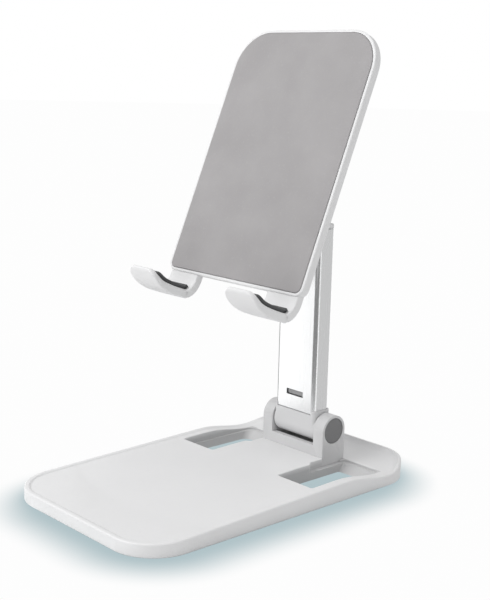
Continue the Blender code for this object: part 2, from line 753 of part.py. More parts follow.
def hinge_axle(name, centre, outer_face, finish):
    """Shouldered pin: a head in the right-hand pocket, a thread that reaches the left-hand nut."""
    seat = outer_face - CAP_THICKNESS - 2 * FINE_GAP
    head = seat - NUT_THICKNESS
    bm = bmesh.new()
    profile = (
        (-seat + 0.0002, 0.0),
        (-seat + 0.0002, AXLE_RADIUS - 0.0003),
        (-seat + 0.0005, AXLE_RADIUS),
        (head, AXLE_RADIUS),
        (head, NUT_POCKET_RADIUS - GAP),
        (seat, NUT_POCKET_RADIUS - GAP),
        (seat, 0.0009),
        (seat - 0.0007, 0.0009),
        (seat - 0.0007, 0.0),
    )
    lathe(bm, profile, centre)
    return piece(name, bm, centre, finish)


def hinge_nut(name, centre, outer_face, finish):
    seat = outer_face - CAP_THICKNESS - 2 * FINE_GAP
    reach = NUT_FLAT_RADIUS / math.cos(math.pi / 6)
    bm = bmesh.new()
    outline = circle(centre.y, centre.z, reach, 6)
    hole = circle(centre.y, centre.z, AXLE_RADIUS + FINE_GAP, 24)
    prism(bm, [outline, hole], -seat, -seat + NUT_THICKNESS, "x")
    return piece(name, bm, centre, finish)


def spring_washer(name, centre, outer_face, finish):
    seat = outer_face - CAP_THICKNESS - 3 * FINE_GAP
    outer = -seat + NUT_THICKNESS
    bm = bmesh.new()
    washer(bm, centre, AXLE_RADIUS + FINE_GAP, SPRING_RADIUS, outer, outer + SPRING_THICKNESS)
    return piece(name, bm, centre, finish)


def hinge_cap(name, centre, outer_face, side, finish):
    outer = outer_face - 0.00005
    bm = bmesh.new()
    profile = (
        (outer - CAP_THICKNESS + FINE_GAP, 0.0),
        (outer - CAP_THICKNESS + FINE_GAP, CAP_RADIUS),
        (outer - 0.00015, CAP_RADIUS),
        (outer, CAP_RADIUS - 0.00015),
        (outer, 0.0),
    )
    lathe(bm, [(side * t, radius) for t, radius in profile], centre)
    return piece(name, bm, centre, finish)


# Column -------------------------------------------------------------------------------------------


def tube_section(inset=0.0):
    """The tube's outline moved inwards, or outwards where the inset is negative."""
    side = TUBE_HALF_WIDTH - inset
    front, rear = along(TUBE_FRONT) + inset, along(TUBE_REAR) - inset
    return rectangle(-side, side, front, rear, max(TUBE_CORNER - inset, 0.0004), 8)


def slider_section(grow=0.0):
    """The slider's cross-section, centred in the tube."""
    half = SLIDER_THICKNESS / 2 + grow
    side = SLIDER_HALF_WIDTH + grow
    return rectangle(-side, side, TUBE_MIDDLE - half, TUBE_MIDDLE + half, 0.0006 + grow, 4)


def cross_bore(bm, centre):
    """A clear hole for an axle, right through a knuckle."""
    radius = AXLE_RADIUS + GAP
    reach = BARREL_HALF + CUT_OVER
    lathe(bm, ((-reach, 0.0), (-reach, radius), (reach, radius), (reach, 0.0)), centre)


def make_knuckle(finish):
    bm = bmesh.new()
    prism(bm, [circle(HINGE.y, HINGE.z, BARREL_RADIUS, 40)], -BARREL_HALF, BARREL_HALF, "x")
    obj = piece("column_knuckle", bm, HINGE, finish)
    bm = bmesh.new()
    front, rear = HINGE.y - BARREL_RADIUS, along(SOCKET_REAR)
    socket = rectangle(-SOCKET_HALF_WIDTH, SOCKET_HALF_WIDTH, front, rear, 0.0012, 5)
    prism(bm, [socket], HINGE_Z, SOCKET_TOP)
    combine(obj, helper("join_socket", bm, HINGE), "UNION")
    bm = bmesh.new()
    prism(bm, [tube_section(-FINE_GAP)], TUBE_FOOT - FINE_GAP, SOCKET_TOP + CUT_OVER)
    cross_bore(bm, HINGE)
    combine(obj, helper("cut_socket", bm, HINGE), "DIFFERENCE")
    bm = bmesh.new()
    inset = TUBE_WALL + FINE_GAP
    prism(bm, [tube_section(inset)], TUBE_FOOT - 0.0015, PLUG_TOP)
    combine(obj, helper("join_plug", bm, HINGE), "UNION")
    bm = bmesh.new()
    face = along(TUBE_FRONT) + inset
    room = rectangle(-CLIP_HALF - GAP, CLIP_HALF + GAP, CLIP_LOW - GAP, CLIP_HIGH + GAP, 0)
    prism(bm, [room], face - CUT_OVER, face + CLIP_ROOM_DEPTH, "y")
    combine(obj, helper("cut_clip_room", bm, HINGE), "DIFFERENCE")
    return obj


def make_lock_clip(finish):
    """Sprung tongue in the knuckle's plug; its barb catches the window in the tube."""
    back = along(TUBE_FRONT) + TUBE_WALL + FINE_GAP + CLIP_ROOM_DEPTH - 0.0002
    leaf = back - CLIP_LEAF
    barb = along(TUBE_FRONT) + 0.0005
    profile = [
        (back, CLIP_LOW),
        (back, CLIP_HIGH),
        (leaf, CLIP_HIGH),
        (leaf, WINDOW_HIGH - GAP),
        (barb, WINDOW_HIGH - GAP),
        (barb, WINDOW_LOW + GAP),
        (leaf, WINDOW_LOW + GAP),
        (leaf, CLIP_LOW),
    ]
    bm = bmesh.new()
    prism(bm, [profile], -CLIP_HALF, CLIP_HALF, "x")
    return piece("tube_lock_clip", bm, HINGE, finish)


def make_tube(finish):
    bm = bmesh.new()
    prism(bm, [tube_section(), tube_section(TUBE_WALL)], TUBE_FOOT, TUBE_TOP)
    obj = piece("column_tube", bm, HINGE, finish)
    bm = bmesh.new()
    window = rectangle(-WINDOW_HALF, WINDOW_HALF, WINDOW_LOW, WINDOW_HIGH, 0)
    prism(bm, [window], along(TUBE_FRONT) - CUT_OVER, along(TUBE_FRONT) + TUBE_WALL + 0.0007, "y")
    combine(obj, helper("cut_tube_window", bm, HINGE), "DIFFERENCE")
    return obj


def make_collar(finish):
    """Trim ring that closes the tube's end around the slider."""
    bm = bmesh.new()
    prism(bm, [tube_section(), slider_section(FINE_GAP)], TUBE_TOP + FINE_GAP, TUBE_TOP + COLLAR_HEIGHT)
    return piece("tube_collar", bm, HINGE, finish)


def make_slider(finish):
    bm = bmesh.new()
    prism(bm, [slider_section()], SLIDER_FOOT, PIVOT.z - HEAD_SLIDER_TOP)
    obj = piece("column_slider", bm, PIVOT, finish)
    bm = bmesh.new()
    low, high = SLIDER_FOOT + SPRING_POCKET_LOW, SLIDER_FOOT + SPRING_POCKET_HIGH
    pocket = rectangle(-SPRING_POCKET_HALF, SPRING_POCKET_HALF, low, high, 0)
    prism(bm, [pocket], TUBE_MIDDLE + 0.0010, TUBE_MIDDLE + 0.004, "y")
    bore = circle(0.0, PIVOT.z - HEAD_PIN_DROP, HEAD_PIN_RADIUS + FINE_GAP, 16)
    prism(bm, [bore], TUBE_MIDDLE - 0.004, TUBE_MIDDLE + 0.004, "y")
    combine(obj, helper("cut_slider", bm, PIVOT), "DIFFERENCE")
    return obj


def make_friction_spring(finish):
    """Bowed leaf in the slider's rear pocket that presses on the tube's rear wall."""
    near = TUBE_MIDDLE + SPRING_SEAT
    far = along(TUBE_REAR) - TUBE_WALL - SPRING_LEAF - SPRING_PRELOAD_GAP
    low = SLIDER_FOOT + SPRING_POCKET_LOW + GAP
    high = SLIDER_FOOT + SPRING_POCKET_HIGH - GAP
    inner = []
    for step in range(13):
        t = step / 12
        inner.append((near + (far - near) * math.sin(math.pi * t), low + (high - low) * t))
    outer = [(y + SPRING_LEAF, z) for y, z in inner]
    half = SPRING_POCKET_HALF - GAP
    bm = bmesh.new()
    prism(bm, [inner + outer[::-1]], -half, half, "x")
    return piece("friction_spring", bm, PIVOT, finish)


def make_slider_head(finish):
    """Knuckle that plugs over the slider's top and carries the cradle's pin."""
    bm = bmesh.new()
    prism(bm, [circle(PIVOT.y, PIVOT.z, LUG_RADIUS, 40)], -KNUCKLE_HALF, KNUCKLE_HALF, "x")
    obj = piece("slider_head", bm, PIVOT, finish)
    foot, shoulder = PIVOT.z - HEAD_FOOT, PIVOT.z - HEAD_SHOULDER
    front, rear = TUBE_MIDDLE - HEAD_HALF_DEPTH, TUBE_MIDDLE + HEAD_HALF_DEPTH
    bm = bmesh.new()
    neck = 0.72 * LUG_RADIUS
    block = [
        (front, foot),
        (rear, foot),
        (rear, shoulder),
        (PIVOT.y + neck, PIVOT.z),
        (PIVOT.y - neck, PIVOT.z),
        (front, shoulder),
    ]
    prism(bm, [block], -KNUCKLE_HALF, KNUCKLE_HALF, "x")
    combine(obj, helper("join_head_neck", bm, PIVOT), "UNION")
    bm = bmesh.new()
    skirt = rectangle(-HEAD_SKIRT_HALF, HEAD_SKIRT_HALF, front, rear, 0.0012, 5)
    prism(bm, [skirt], foot, shoulder + GAP)
    combine(obj, helper("join_head_skirt", bm, PIVOT), "UNION")
    bm = bmesh.new()
    prism(bm, [slider_section(FINE_GAP)], foot - CUT_OVER, PIVOT.z - HEAD_SLIDER_TOP + FINE_GAP)
    cross_bore(bm, PIVOT)
    combine(obj, helper("cut_head_socket", bm, PIVOT), "DIFFERENCE")
    bm = bmesh.new()
    bore = circle(0.0, PIVOT.z - HEAD_PIN_DROP, HEAD_PIN_RADIUS + FINE_GAP, 16)
    prism(bm, [bore], front - CUT_OVER, rear + CUT_OVER, "y")
    combine(obj, helper("cut_head_pin", bm, PIVOT), "DIFFERENCE")
    return obj


def make_head_pin(finish):
    half = HEAD_HALF_DEPTH - 0.0002
    bm = bmesh.new()
    pin = circle(0.0, PIVOT.z - HEAD_PIN_DROP, HEAD_PIN_RADIUS, 16)
    prism(bm, [pin], TUBE_MIDDLE - half, TUBE_MIDDLE + half, "y")
    return piece("head_pin", bm, PIVOT, finish)


# Cradle -------------------------------------------------------------------------------------------


def plate_outline(inset=0.0, foot=PLATE_FOOT):
    half = PLATE_HALF_WIDTH - inset
    top = PLATE_TOP_RADIUS - inset
    base = max(PLATE_FOOT_RADIUS - inset, 0.0005)
    return rectangle(-half, half, foot + inset, PLATE_TOP - inset, (base, top, top, base), 12)


def hook_path():
    """Centre line of a hook in the s, w plane: down the back, round the bend, out and up to the lip."""
    half = HOOK_WALL / 2
    path = [(PLATE_BACK + half, HOOK_ROOT), (PLATE_BACK + half, 0.5 * (HOOK_ROOT + HOOK_BEND_S))]
    centre_w = PLATE_BACK + half + HOOK_BEND_OUT
    for step in range(9):
        angle = math.pi + HOOK_BEND_SWEEP * step / 8
        w = centre_w + HOOK_BEND_OUT * math.cos(angle)
        path.append((w, HOOK_BEND_S + HOOK_BEND_DOWN * math.sin(angle)))
    return path + [*HOOK_TROUGH, *HOOK_LIP]


def strip_sections(path, x_middle, half_width, thickness, lip_radius):
    """Rounded-rectangle sections along a path, narrowing at its far end as the lip's corners do."""
    lengths = [0.0]
    for one, two in zip(path, path[1:]):
        lengths.append(lengths[-1] + math.dist(one, two))
    sections = []
    for index, (w, s) in enumerate(path):
        before, after = path[max(index - 1, 0)], path[min(index + 1, len(path) - 1)]
        run_w, run_s = after[0] - before[0], after[1] - before[1]
        size = math.hypot(run_w, run_s)
        across = (-run_s / size, run_w / size)
        left = max(lip_radius - (lengths[-1] - lengths[index]), 0.0)
        narrowing = lip_radius - math.sqrt(max(lip_radius**2 - left**2, 0.0))
        half = half_width - HOOK_LIP_NARROWING * narrowing
        thin = thickness * (1.0 - 0.35 * smoothstep(0.0, 1.0, left / lip_radius))
        outline = rectangle(-half, half, -thin / 2, thin / 2, thin * 0.22, 3)
        sections.append([Vector((x_middle + u, s + across[1] * v, w + across[0] * v)) for u, v in outline])
    return sections


def dense_lip(path, count=7):
    """The path with its last stretch split finely, where the lip's corners round off."""
    fine = list(path)
    for _ in range(2):
        tail = fine[-count:]
        split = [tail[0]]
        for one, two in zip(tail, tail[1:]):
            split.append(((one[0] + two[0]) / 2, (one[1] + two[1]) / 2))
            split.append(two)
        fine = fine[:-count] + split
    return fine


def yoke_screws():
    places = {}
    for side, x in (("left", -YOKE_SCREW_X), ("right", YOKE_SCREW_X)):
        places["yoke_screw_lower_" + side] = (x, YOKE_SCREW_LOW)
        places["yoke_screw_upper_" + side] = (x, YOKE_SCREW_HIGH)
    return places


def make_cradle_frame(finish):
    bm = bmesh.new()
    prism(bm, [plate_outline()], PLATE_BACK, PLATE_FACE)
    obj = piece("cradle_frame", bm, PIVOT, finish, CRADLE_FRAME)
    middle = 0.5 * (HOOK_INNER + HOOK_OUTER)
    half = 0.5 * (HOOK_OUTER - HOOK_INNER)
    bm = bmesh.new()
    for side in (-1, 1):
        loft(bm, strip_sections(dense_lip(hook_path()), side * middle, half, HOOK_WALL, HOOK_LIP_RADIUS))
    combine(obj, helper("join_hooks", bm, PIVOT, CRADLE_FRAME), "UNION")
    bm = bmesh.new()
    prism(bm, [plate_outline(PAD_INSET)], PAD_FLOOR, 0.002)
    combine(obj, helper("cut_pad_recess", bm, PIVOT, CRADLE_FRAME), "DIFFERENCE")
    bm = bmesh.new()
    side = YOKE_HALF_WIDTH + FINE_GAP
    seat = rectangle(-side, side, YOKE_FOOT - FINE_GAP, YOKE_TOP + FINE_GAP, 0.0022, 5)
    prism(bm, [seat], PLATE_BACK - CUT_OVER, YOKE_FACE + FINE_GAP)
    combine(obj, helper("cut_yoke_seat", bm, PIVOT, CRADLE_FRAME), "DIFFERENCE")
    bm = bmesh.new()
    channel = rectangle(-CHANNEL_HALF_WIDTH, CHANNEL_HALF_WIDTH, -0.002, YOKE_FOOT + 0.001, 0.0)
    prism(bm, [channel], PLATE_BACK - CUT_OVER, PLATE_BACK + CHANNEL_DEPTH)
    combine(obj, helper("cut_column_channel", bm, PIVOT, CRADLE_FRAME), "DIFFERENCE")
    bm = bmesh.new()
    for x, s in yoke_screws().values():
        profile = (
            (PLATE_BACK, 0.0),
            (PLATE_BACK, YOKE_SCREW_SHANK + 0.00025),
            (-0.0018, YOKE_SCREW_SHANK + 0.00025),
            (-0.00105, YOKE_SCREW_HEAD + GAP),
            (0.001, YOKE_SCREW_HEAD + GAP),
            (0.001, 0.0),
        )
        lathe(bm, profile, Vector((x, s, 0.0)), "z", 20)
    combine(obj, helper("cut_yoke_screws", bm, PIVOT, CRADLE_FRAME), "DIFFERENCE")
    return obj


def make_cradle_pad(finish):
    bm = bmesh.new()
    low = PAD_FLOOR + FINE_GAP
    prism(bm, [plate_outline(PAD_INSET + FINE_GAP)], low, low + CRADLE_PAD_THICKNESS)
    return piece("cradle_pad", bm, PIVOT, finish, CRADLE_FRAME)


def offset_path(path, distance):
    """The path moved sideways, towards the inside of the hook."""
    line = []
    for index in range(1, len(path) - 1):
        before, after = path[index - 1], path[index + 1]
        run_w, run_s = after[0] - before[0], after[1] - before[1]
        size = math.hypot(run_w, run_s)
        w, s = path[index]
        line.append((w - run_s / size * distance, s + run_w / size * distance))
    return line


def make_hook_liners(finish):
    """Soft dark lining of each hook's trough."""
    stretch = hook_path()[4:-2]
    near = offset_path(stretch, HOOK_WALL / 2 + FINE_GAP)
    far = offset_path(stretch, HOOK_WALL / 2 + FINE_GAP + HOOK_LINER_THICKNESS)
    outline = [(s, w) for w, s in near + far[::-1]]
    liners = []
    for name, side in (("hook_liner_left", -1), ("hook_liner_right", 1)):
        edges = (side * (HOOK_INNER + HOOK_LINER_INSET), side * (HOOK_OUTER - HOOK_LINER_INSET))
        bm = bmesh.new()
        prism(bm, [outline], min(edges), max(edges), "x")
        liners.append(piece(name, bm, PIVOT, finish, CRADLE_FRAME))
    return liners


def make_yoke(finish):
    bm = bmesh.new()
    outline = rectangle(-YOKE_HALF_WIDTH, YOKE_HALF_WIDTH, YOKE_FOOT, YOKE_TOP, 0.002, 5)
    prism(bm, [outline], YOKE_BACK, YOKE_FACE)
    obj = piece("cradle_yoke", bm, PIVOT, finish, CRADLE_FRAME)
    bm = bmesh.new()
    for side in (-1, 1):
        lug = [(PIVOT_S - LUG_ROOT, YOKE_BACK + 0.0006), (PIVOT_S - LUG_RADIUS, PIVOT_W)]
        for step in range(1, 16):
            angle = math.pi + math.pi * step / 16
            lug.append((PIVOT_S + LUG_RADIUS * math.cos(angle), PIVOT_W + LUG_RADIUS * math.sin(angle)))
        lug += [(PIVOT_S + LUG_RADIUS, PIVOT_W), (PIVOT_S + LUG_ROOT, YOKE_BACK + 0.0006)]
        low, high = sorted((side * LUG_INNER, side * LUG_OUTER))
        prism(bm, [lug], low, high, "x")
    combine(obj, helper("join_yoke_lugs", bm, PIVOT, CRADLE_FRAME), "UNION")
    bm = bmesh.new()
    for x, s in yoke_screws().values():
        boss = circle(x, s, YOKE_BOSS_RADIUS, 24)
        prism(bm, [boss], YOKE_BACK - YOKE_BOSS_HEIGHT, YOKE_BACK + 0.0004)
    combine(obj, helper("join_yoke_bosses", bm, PIVOT, CRADLE_FRAME), "UNION")
    bm = bmesh.new()
    for x, s in yoke_screws().values():
        thread = circle(x, s, YOKE_SCREW_SHANK + FINE_GAP, 16)
        prism(bm, [thread], -0.0039, YOKE_FACE + CUT_OVER)
    combine(obj, helper("cut_yoke_threads", bm, PIVOT, CRADLE_FRAME), "DIFFERENCE")
    bm = bmesh.new()
    cap_seat = LUG_OUTER - CAP_THICKNESS - FINE_GAP
    nut_floor = cap_seat - NUT_THICKNESS - SPRING_THICKNESS - 3 * FINE_GAP
    for side in (-1, 1):
        profile = (
            (LUG_INNER - 0.001, 0.0),
            (LUG_INNER - 0.001, AXLE_RADIUS + FINE_GAP),
            (nut_floor, AXLE_RADIUS + FINE_GAP),
            (nut_floor, NUT_POCKET_RADIUS),
            (LUG_OUTER + CUT_OVER, NUT_POCKET_RADIUS),
            (LUG_OUTER + CUT_OVER, 0.0),
        )
        lathe(bm, [(side * t, radius) for t, radius in profile], PIVOT)
    combine(obj, helper("cut_yoke_bores", bm, PIVOT), "DIFFERENCE")
    return obj


def make_yoke_screws(finish):
    screws = []
    for name, (x, s) in yoke_screws().items():
        bm = bmesh.new()
        profile = (
            (-0.0037, 0.0),
            (-0.0037, YOKE_SCREW_SHANK),
            (-0.0019, YOKE_SCREW_SHANK),
            (-0.0013, YOKE_SCREW_HEAD),
            (-0.0012, YOKE_SCREW_HEAD),
            (-0.0012, 0.4 * YOKE_SCREW_HEAD),
            (-0.0016, 0.4 * YOKE_SCREW_HEAD),
            (-0.0016, 0.0),
        )
        lathe(bm, profile, Vector((x, s, 0.0)), "z", 20)
        screws.append(piece(name, bm, PIVOT, finish, CRADLE_FRAME))
    return screws


def make_pivot_caps(finish):
    caps = []
    for name, side in (("pivot_cap_left", -1), ("pivot_cap_right", 1)):
        outer = LUG_OUTER - 0.00005
        radius = NUT_POCKET_RADIUS - FINE_GAP
        bm = bmesh.new()
        profile = (
            (outer - CAP_THICKNESS + FINE_GAP, 0.0),
            (outer - CAP_THICKNESS + FINE_GAP, radius),
            (outer, radius),
            (outer, 0.0),
        )
        lathe(bm, [(side * t, size) for t, size in profile], PIVOT)
        caps.append(piece(name, bm, PIVOT, finish))
    return caps


# Assembly -----------------------------------------------------------------------------------------


def build():
    for obj in list(bpy.data.objects):
        bpy.data.objects.remove(obj, do_unlink=True)
    make_base_shell(WHITE_PLASTIC)
    make_bottom_cover(GREY_WHITE_PLASTIC)
    make_ballast(DARK_STEEL)
    make_foot_pads(FOOT_SILICONE)
    make_cover_screws(STEEL)
    make_fork(GREY_WHITE_PLASTIC)
    make_fork_screws(STEEL)
    hinge_axle("base_axle", HINGE, FORK_HALF_WIDTH, STEEL)
    hinge_nut("base_nut", HINGE, FORK_HALF_WIDTH, STEEL)
    spring_washer("base_spring_washer", HINGE, FORK_HALF_WIDTH, DARK_STEEL)
    hinge_cap("base_cap_left", HINGE, FORK_HALF_WIDTH, -1, CAP_PLASTIC)
    hinge_cap("base_cap_right", HINGE, FORK_HALF_WIDTH, 1, CAP_PLASTIC)
    make_knuckle(GREY_WHITE_PLASTIC)
    make_lock_clip(CLIP_PLASTIC)
    make_tube(ALUMINIUM)
    make_collar(GREY_WHITE_PLASTIC)
    make_slider(ALUMINIUM)
    make_friction_spring(STEEL)
    make_slider_head(GREY_WHITE_PLASTIC)
    make_head_pin(STEEL)
    make_cradle_frame(WHITE_PLASTIC)
    make_cradle_pad(PAD_SILICONE)
    make_hook_liners(LINER_SILICONE)
    make_yoke(GREY_WHITE_PLASTIC)
    make_yoke_screws(STEEL)
    hinge_axle("pivot_axle", PIVOT, LUG_OUTER, STEEL)
    hinge_nut("pivot_nut", PIVOT, LUG_OUTER, STEEL)
    spring_washer("pivot_spring_washer", PIVOT, LUG_OUTER, DARK_STEEL)
    make_pivot_caps(GREY_WHITE_PLASTIC)


build()
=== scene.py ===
import json
import math

import bmesh
import bpy
from mathutils import Matrix, Vector
from mathutils.geometry import delaunay_2d_cdt, tessellate_polygon


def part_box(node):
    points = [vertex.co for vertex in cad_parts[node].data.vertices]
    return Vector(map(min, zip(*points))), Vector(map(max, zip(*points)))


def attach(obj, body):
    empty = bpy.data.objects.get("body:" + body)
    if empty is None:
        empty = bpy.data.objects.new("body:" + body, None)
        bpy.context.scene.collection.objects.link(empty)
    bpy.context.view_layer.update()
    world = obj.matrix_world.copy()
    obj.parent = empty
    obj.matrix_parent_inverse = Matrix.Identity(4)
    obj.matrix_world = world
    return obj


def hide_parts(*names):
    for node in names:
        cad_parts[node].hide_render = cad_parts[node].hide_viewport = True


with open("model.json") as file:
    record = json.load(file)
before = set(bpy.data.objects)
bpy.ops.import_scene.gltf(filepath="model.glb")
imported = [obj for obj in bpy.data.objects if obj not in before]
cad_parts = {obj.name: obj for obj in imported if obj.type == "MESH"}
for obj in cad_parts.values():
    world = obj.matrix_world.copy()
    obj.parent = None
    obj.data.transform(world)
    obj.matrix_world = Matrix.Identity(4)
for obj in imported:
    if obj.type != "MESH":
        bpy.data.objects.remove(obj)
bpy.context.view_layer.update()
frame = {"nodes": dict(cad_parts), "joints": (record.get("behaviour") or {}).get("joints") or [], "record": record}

# The frame's fixed points
JOINTS = {joint["name"]: joint for joint in frame["joints"]}
HINGE = Vector(JOINTS["base_fold"]["pos_m"])
PIVOT = Vector(JOINTS["cradle_tilt"]["pos_m"])
BASE_LOW, BASE_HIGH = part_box("base_shell")
BASE_WIDTH = BASE_HIGH.x - BASE_LOW.x
BASE_LENGTH = BASE_HIGH.y - BASE_LOW.y
PAD_NORMAL = Vector(next(m["axis"] for m in frame["record"]["mounts"] if m["name"] == "phone_rest"))
PIVOT_S, PIVOT_W = 0.07215, -0.0078
CRADLE = Matrix(
    (
        (1.0, 0.0, 0.0, 0.0),
        (0.0, PAD_NORMAL.z, PAD_NORMAL.y, 0.0),
        (0.0, -PAD_NORMAL.y, PAD_NORMAL.z, 0.0),
        (0.0, 0.0, 0.0, 1.0),
    )
)
CRADLE = Matrix.Translation(PIVOT - CRADLE @ Vector((0.0, PIVOT_S, PIVOT_W))) @ CRADLE

# Base tray, measured back from its front edge
BASE_CORNER = 0.0140
UNDERSIDE = 0.00015
RIM_FRONT, RIM_SLOPE, RIM_HIGHEST = 0.00415, 0.0235, 0.00590
RIM_BAND, RIM_STEP, FLOOR_DROP = 0.00125, 0.0009, 0.0004
DIP_START, DIP_END = 0.0770, 0.0955
PLATFORM, LIP_TOP, LIP_BAND, COVE_DEPTH = 0.0035, 0.00615, 0.0011, 0.0080
LIP_FADE_START, LIP_FADE_END = 0.0970, 0.1085
TRAY_FILLET, FOOT_FILLET, CUTOUT_FILLET = 0.00055, 0.0004, 0.00035
STRIP_HALF, STRIP_DIP = 0.0156, (0.0875, 0.0925)
CUTOUT_INNER, CUTOUT_OUTER, CUTOUT_FRONT, CUTOUT_REAR = 0.0153, 0.0299, 0.0655, 0.0968
CUTOUT_FORK_SIDE = 0.01391
STEP_HEIGHT, STEP_DROP = 0.0028, 0.00015
STEP_LEDGE, STEP_INNER_LEDGE = 0.0006, 0.00006
FOOT_INNER, FOOT_OUTER, FOOT_FRONT, FOOT_REAR = 0.0154, 0.0289, 0.0675, 0.0932
RINGS = (
    *(0.00085, 0.00105, 0.00115, 0.00125, 0.0014, 0.00155),
    *(0.0017, 0.00185, 0.002, 0.00215, 0.0024, 0.0026),
)
CUTOUT_RINGS = (0.0006, 0.0010)
GRID = 0.0010

# Hinge fork and column
FORK_HALF, SLOT_HALF = 0.01376, 0.0095
FORK_FRONT, FORK_REAR = 0.0867, 0.0968
BAR_TOP = 0.0089
CAP_RADIUS, CAP_DEPTH = 0.0041, 0.0008
BARREL_RADIUS, BARREL_HALF = 0.00465, 0.0092
TUBE_LOW, TUBE_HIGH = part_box("column_tube")
TUBE_CORNER, TUBE_WALL = 0.0015, 0.0011
SOCKET_HALF, SOCKET_REAR, SOCKET_TOP = 0.0091, 0.0947, 0.0197
WINDOW_HALF, WINDOW_LOW, WINDOW_HIGH = 0.0037, 0.0232, 0.0251

# Cradle, in its own frame
PLATE_HALF, PLATE_FOOT, PLATE_TOP = 0.0300, 0.0020, 0.0838
PLATE_TOP_RADIUS, PLATE_FOOT_RADIUS = 0.0125, 0.0030
PLATE_FACE, PLATE_BACK = -0.00025, -0.0034
HOOK_INNER, HOOK_OUTER, HOOK_WALL = 0.01567, 0.02862, 0.0027


def along(y):
    """World y of a distance measured back from the front edge of the base."""
    return BASE_LOW.y + y


# Outlines ---------------------------------------------------------------------------------------


def smoothstep(low, high, value):
    t = min(max((value - low) / (high - low), 0.0), 1.0)
    return t * t * (3 - 2 * t)


def rounded(points, radii, steps=10):
    """A closed outline with each corner turned into an arc of its own radius."""
    if not isinstance(radii, (tuple, list)):
        radii = [radii] * len(points)
    result = []
    for index, (point, radius) in enumerate(zip(points, radii)):
        corner = Vector(point)
        before = (Vector(points[index - 1]) - corner).normalized()
        after = (Vector(points[(index + 1) % len(points)]) - corner).normalized()
        if radius == 0:
            result.append(tuple(corner))
            continue
        half = before.angle(after) / 2
        centre = corner + (before + after).normalized() * radius / math.sin(half)
        start = corner + before * radius / math.tan(half) - centre
        end = corner + after * radius / math.tan(half) - centre
        turn = math.atan2(start.x * end.y - start.y * end.x, start.dot(end))
        for step in range(steps + 1):
            angle = turn * step / steps
            cosine, sine = math.cos(angle), math.sin(angle)
            spoke = Vector((start.x * cosine - start.y * sine, start.x * sine + start.y * cosine))
            result.append(tuple(centre + spoke))
    return result


def rectangle(x0, x1, y0, y1, radii=0.0, steps=10):
    """Anticlockwise from the lower right corner."""
    return rounded([(x1, y0), (x1, y1), (x0, y1), (x0, y0)], radii, steps)


def circle(x, y, radius, steps=64):
    angles = [2 * math.pi * step / steps for step in range(steps)]
    return [(x + radius * math.cos(angle), y + radius * math.sin(angle)) for angle in angles]


def dense(points, spacing):
    """The closed outline with its long sides split."""
    result = []
    for one, two in zip(points, points[1:] + points[:1]):
        count = max(1, round(math.dist(one, two) / spacing))
        for step in range(count):
            t = step / count
            result.append((one[0] + (two[0] - one[0]) * t, one[1] + (two[1] - one[1]) * t))
    return result


def offset(points, distance):
    """An anticlockwise outline moved outwards, or inwards by a negative distance."""
    result = []
    for index, point in enumerate(points):
        before = (Vector(point) - Vector(points[index - 1])).normalized()
        after = (Vector(points[(index + 1) % len(points)]) - Vector(point)).normalized()
        normal = Vector((before.y + after.y, -before.x - after.x)).normalized()
        stretch = max(normal.dot(Vector((before.y, -before.x))), 0.3)
        result.append((point[0] + normal.x * distance / stretch, point[1] + normal.y * distance / stretch))
    return result


def mirrored(points):
    return [(-x, y) for x, y in reversed(points)]


def inside(point, polygon):
    x, y = point
    crossings = 0
    for one, two in zip(polygon, polygon[1:] + polygon[:1]):
        if (one[1] > y) != (two[1] > y):
            crossings += x < one[0] + (y - one[1]) / (two[1] - one[1]) * (two[0] - one[0])
    return crossings % 2 == 1


def fillet(radius, steps=5):
    """(inset, drop) pairs from the flat face round to the side."""
    angles = [math.pi / 2 * step / steps for step in range(steps + 1)]
    return [(radius * (1 - math.sin(angle)), radius * (1 - math.cos(angle))) for angle in angles]


# Solids -----------------------------------------------------------------------------------------


def placed(axis, u, v, t):
    """The point at t along an axis: u, v are x, y across z; x, z across y; and y, z across x."""
    return {"z": Vector((u, v, t)), "y": Vector((u, t, v)), "x": Vector((t, u, v))}[axis]


def bridge(bm, one, two):
    for index in range(len(one)):
        after = (index + 1) % len(one)
        bm.faces.new((one[index], one[after], two[after], two[index]))


def skin(bm, rings, caps=True):
    """Quads between rings of points, with a flat cap at either end."""
    rings = [[bm.verts.new(point) for point in ring] for ring in rings]
    for one, two in zip(rings, rings[1:]):
        bridge(bm, one, two)
    if caps:
        bm.faces.new(rings[0][::-1])
        bm.faces.new(rings[-1])


def slab(bm, outline, low, high, round_low=0.0, round_high=0.0, axis="z", steps=5):
    """A prism with rounded edges at either end."""
    levels = [(inset, low + drop) for inset, drop in fillet(round_low, steps)] if round_low else [(0.0, low)]
    top = [(0.0, high)]
    if round_high:
        top = [(inset, high - drop) for inset, drop in fillet(round_high, steps)]
    levels += top[::-1]
    rings = []
    for inset, t in levels:
        points = offset(outline, -inset) if inset else outline
        rings.append([placed(axis, u, v, t) for u, v in points])
    skin(bm, rings)


def lathe(bm, profile, centre, axis="x", steps=72):
    """A solid of revolution from (distance along the axis, radius) pairs whose ends have radius 0."""
    rings = []
    for t, radius in profile:
        ring = circle(0.0, 0.0, radius, steps) if radius else [(0.0, 0.0)]
        rings.append([bm.verts.new(centre + placed(axis, u, v, t)) for u, v in ring])
    for one, two in zip(rings, rings[1:]):
        for step in range(steps):
            after = (step + 1) % steps
            around = ((one, step), (one, after), (two, after), (two, step))
            corners = [ring[index % len(ring)] for ring, index in around]
            bm.faces.new(list(dict.fromkeys(corners)))


def disc_profile(low, high, radius, edge, dish=0.0):
    """Lathe profile of a disc with rounded edges, its far face dished a little."""
    near = [(low + drop, radius - inset) for inset, drop in fillet(edge, 4)]
    far = [(high - drop, radius - inset) for inset, drop in reversed(fillet(edge, 4))]
    dished = [(high - dish, radius - edge - dish), (high - dish, 0.0)] if dish else [(high, 0.0)]
    return [(low, 0.0), *near, *far, *dished]


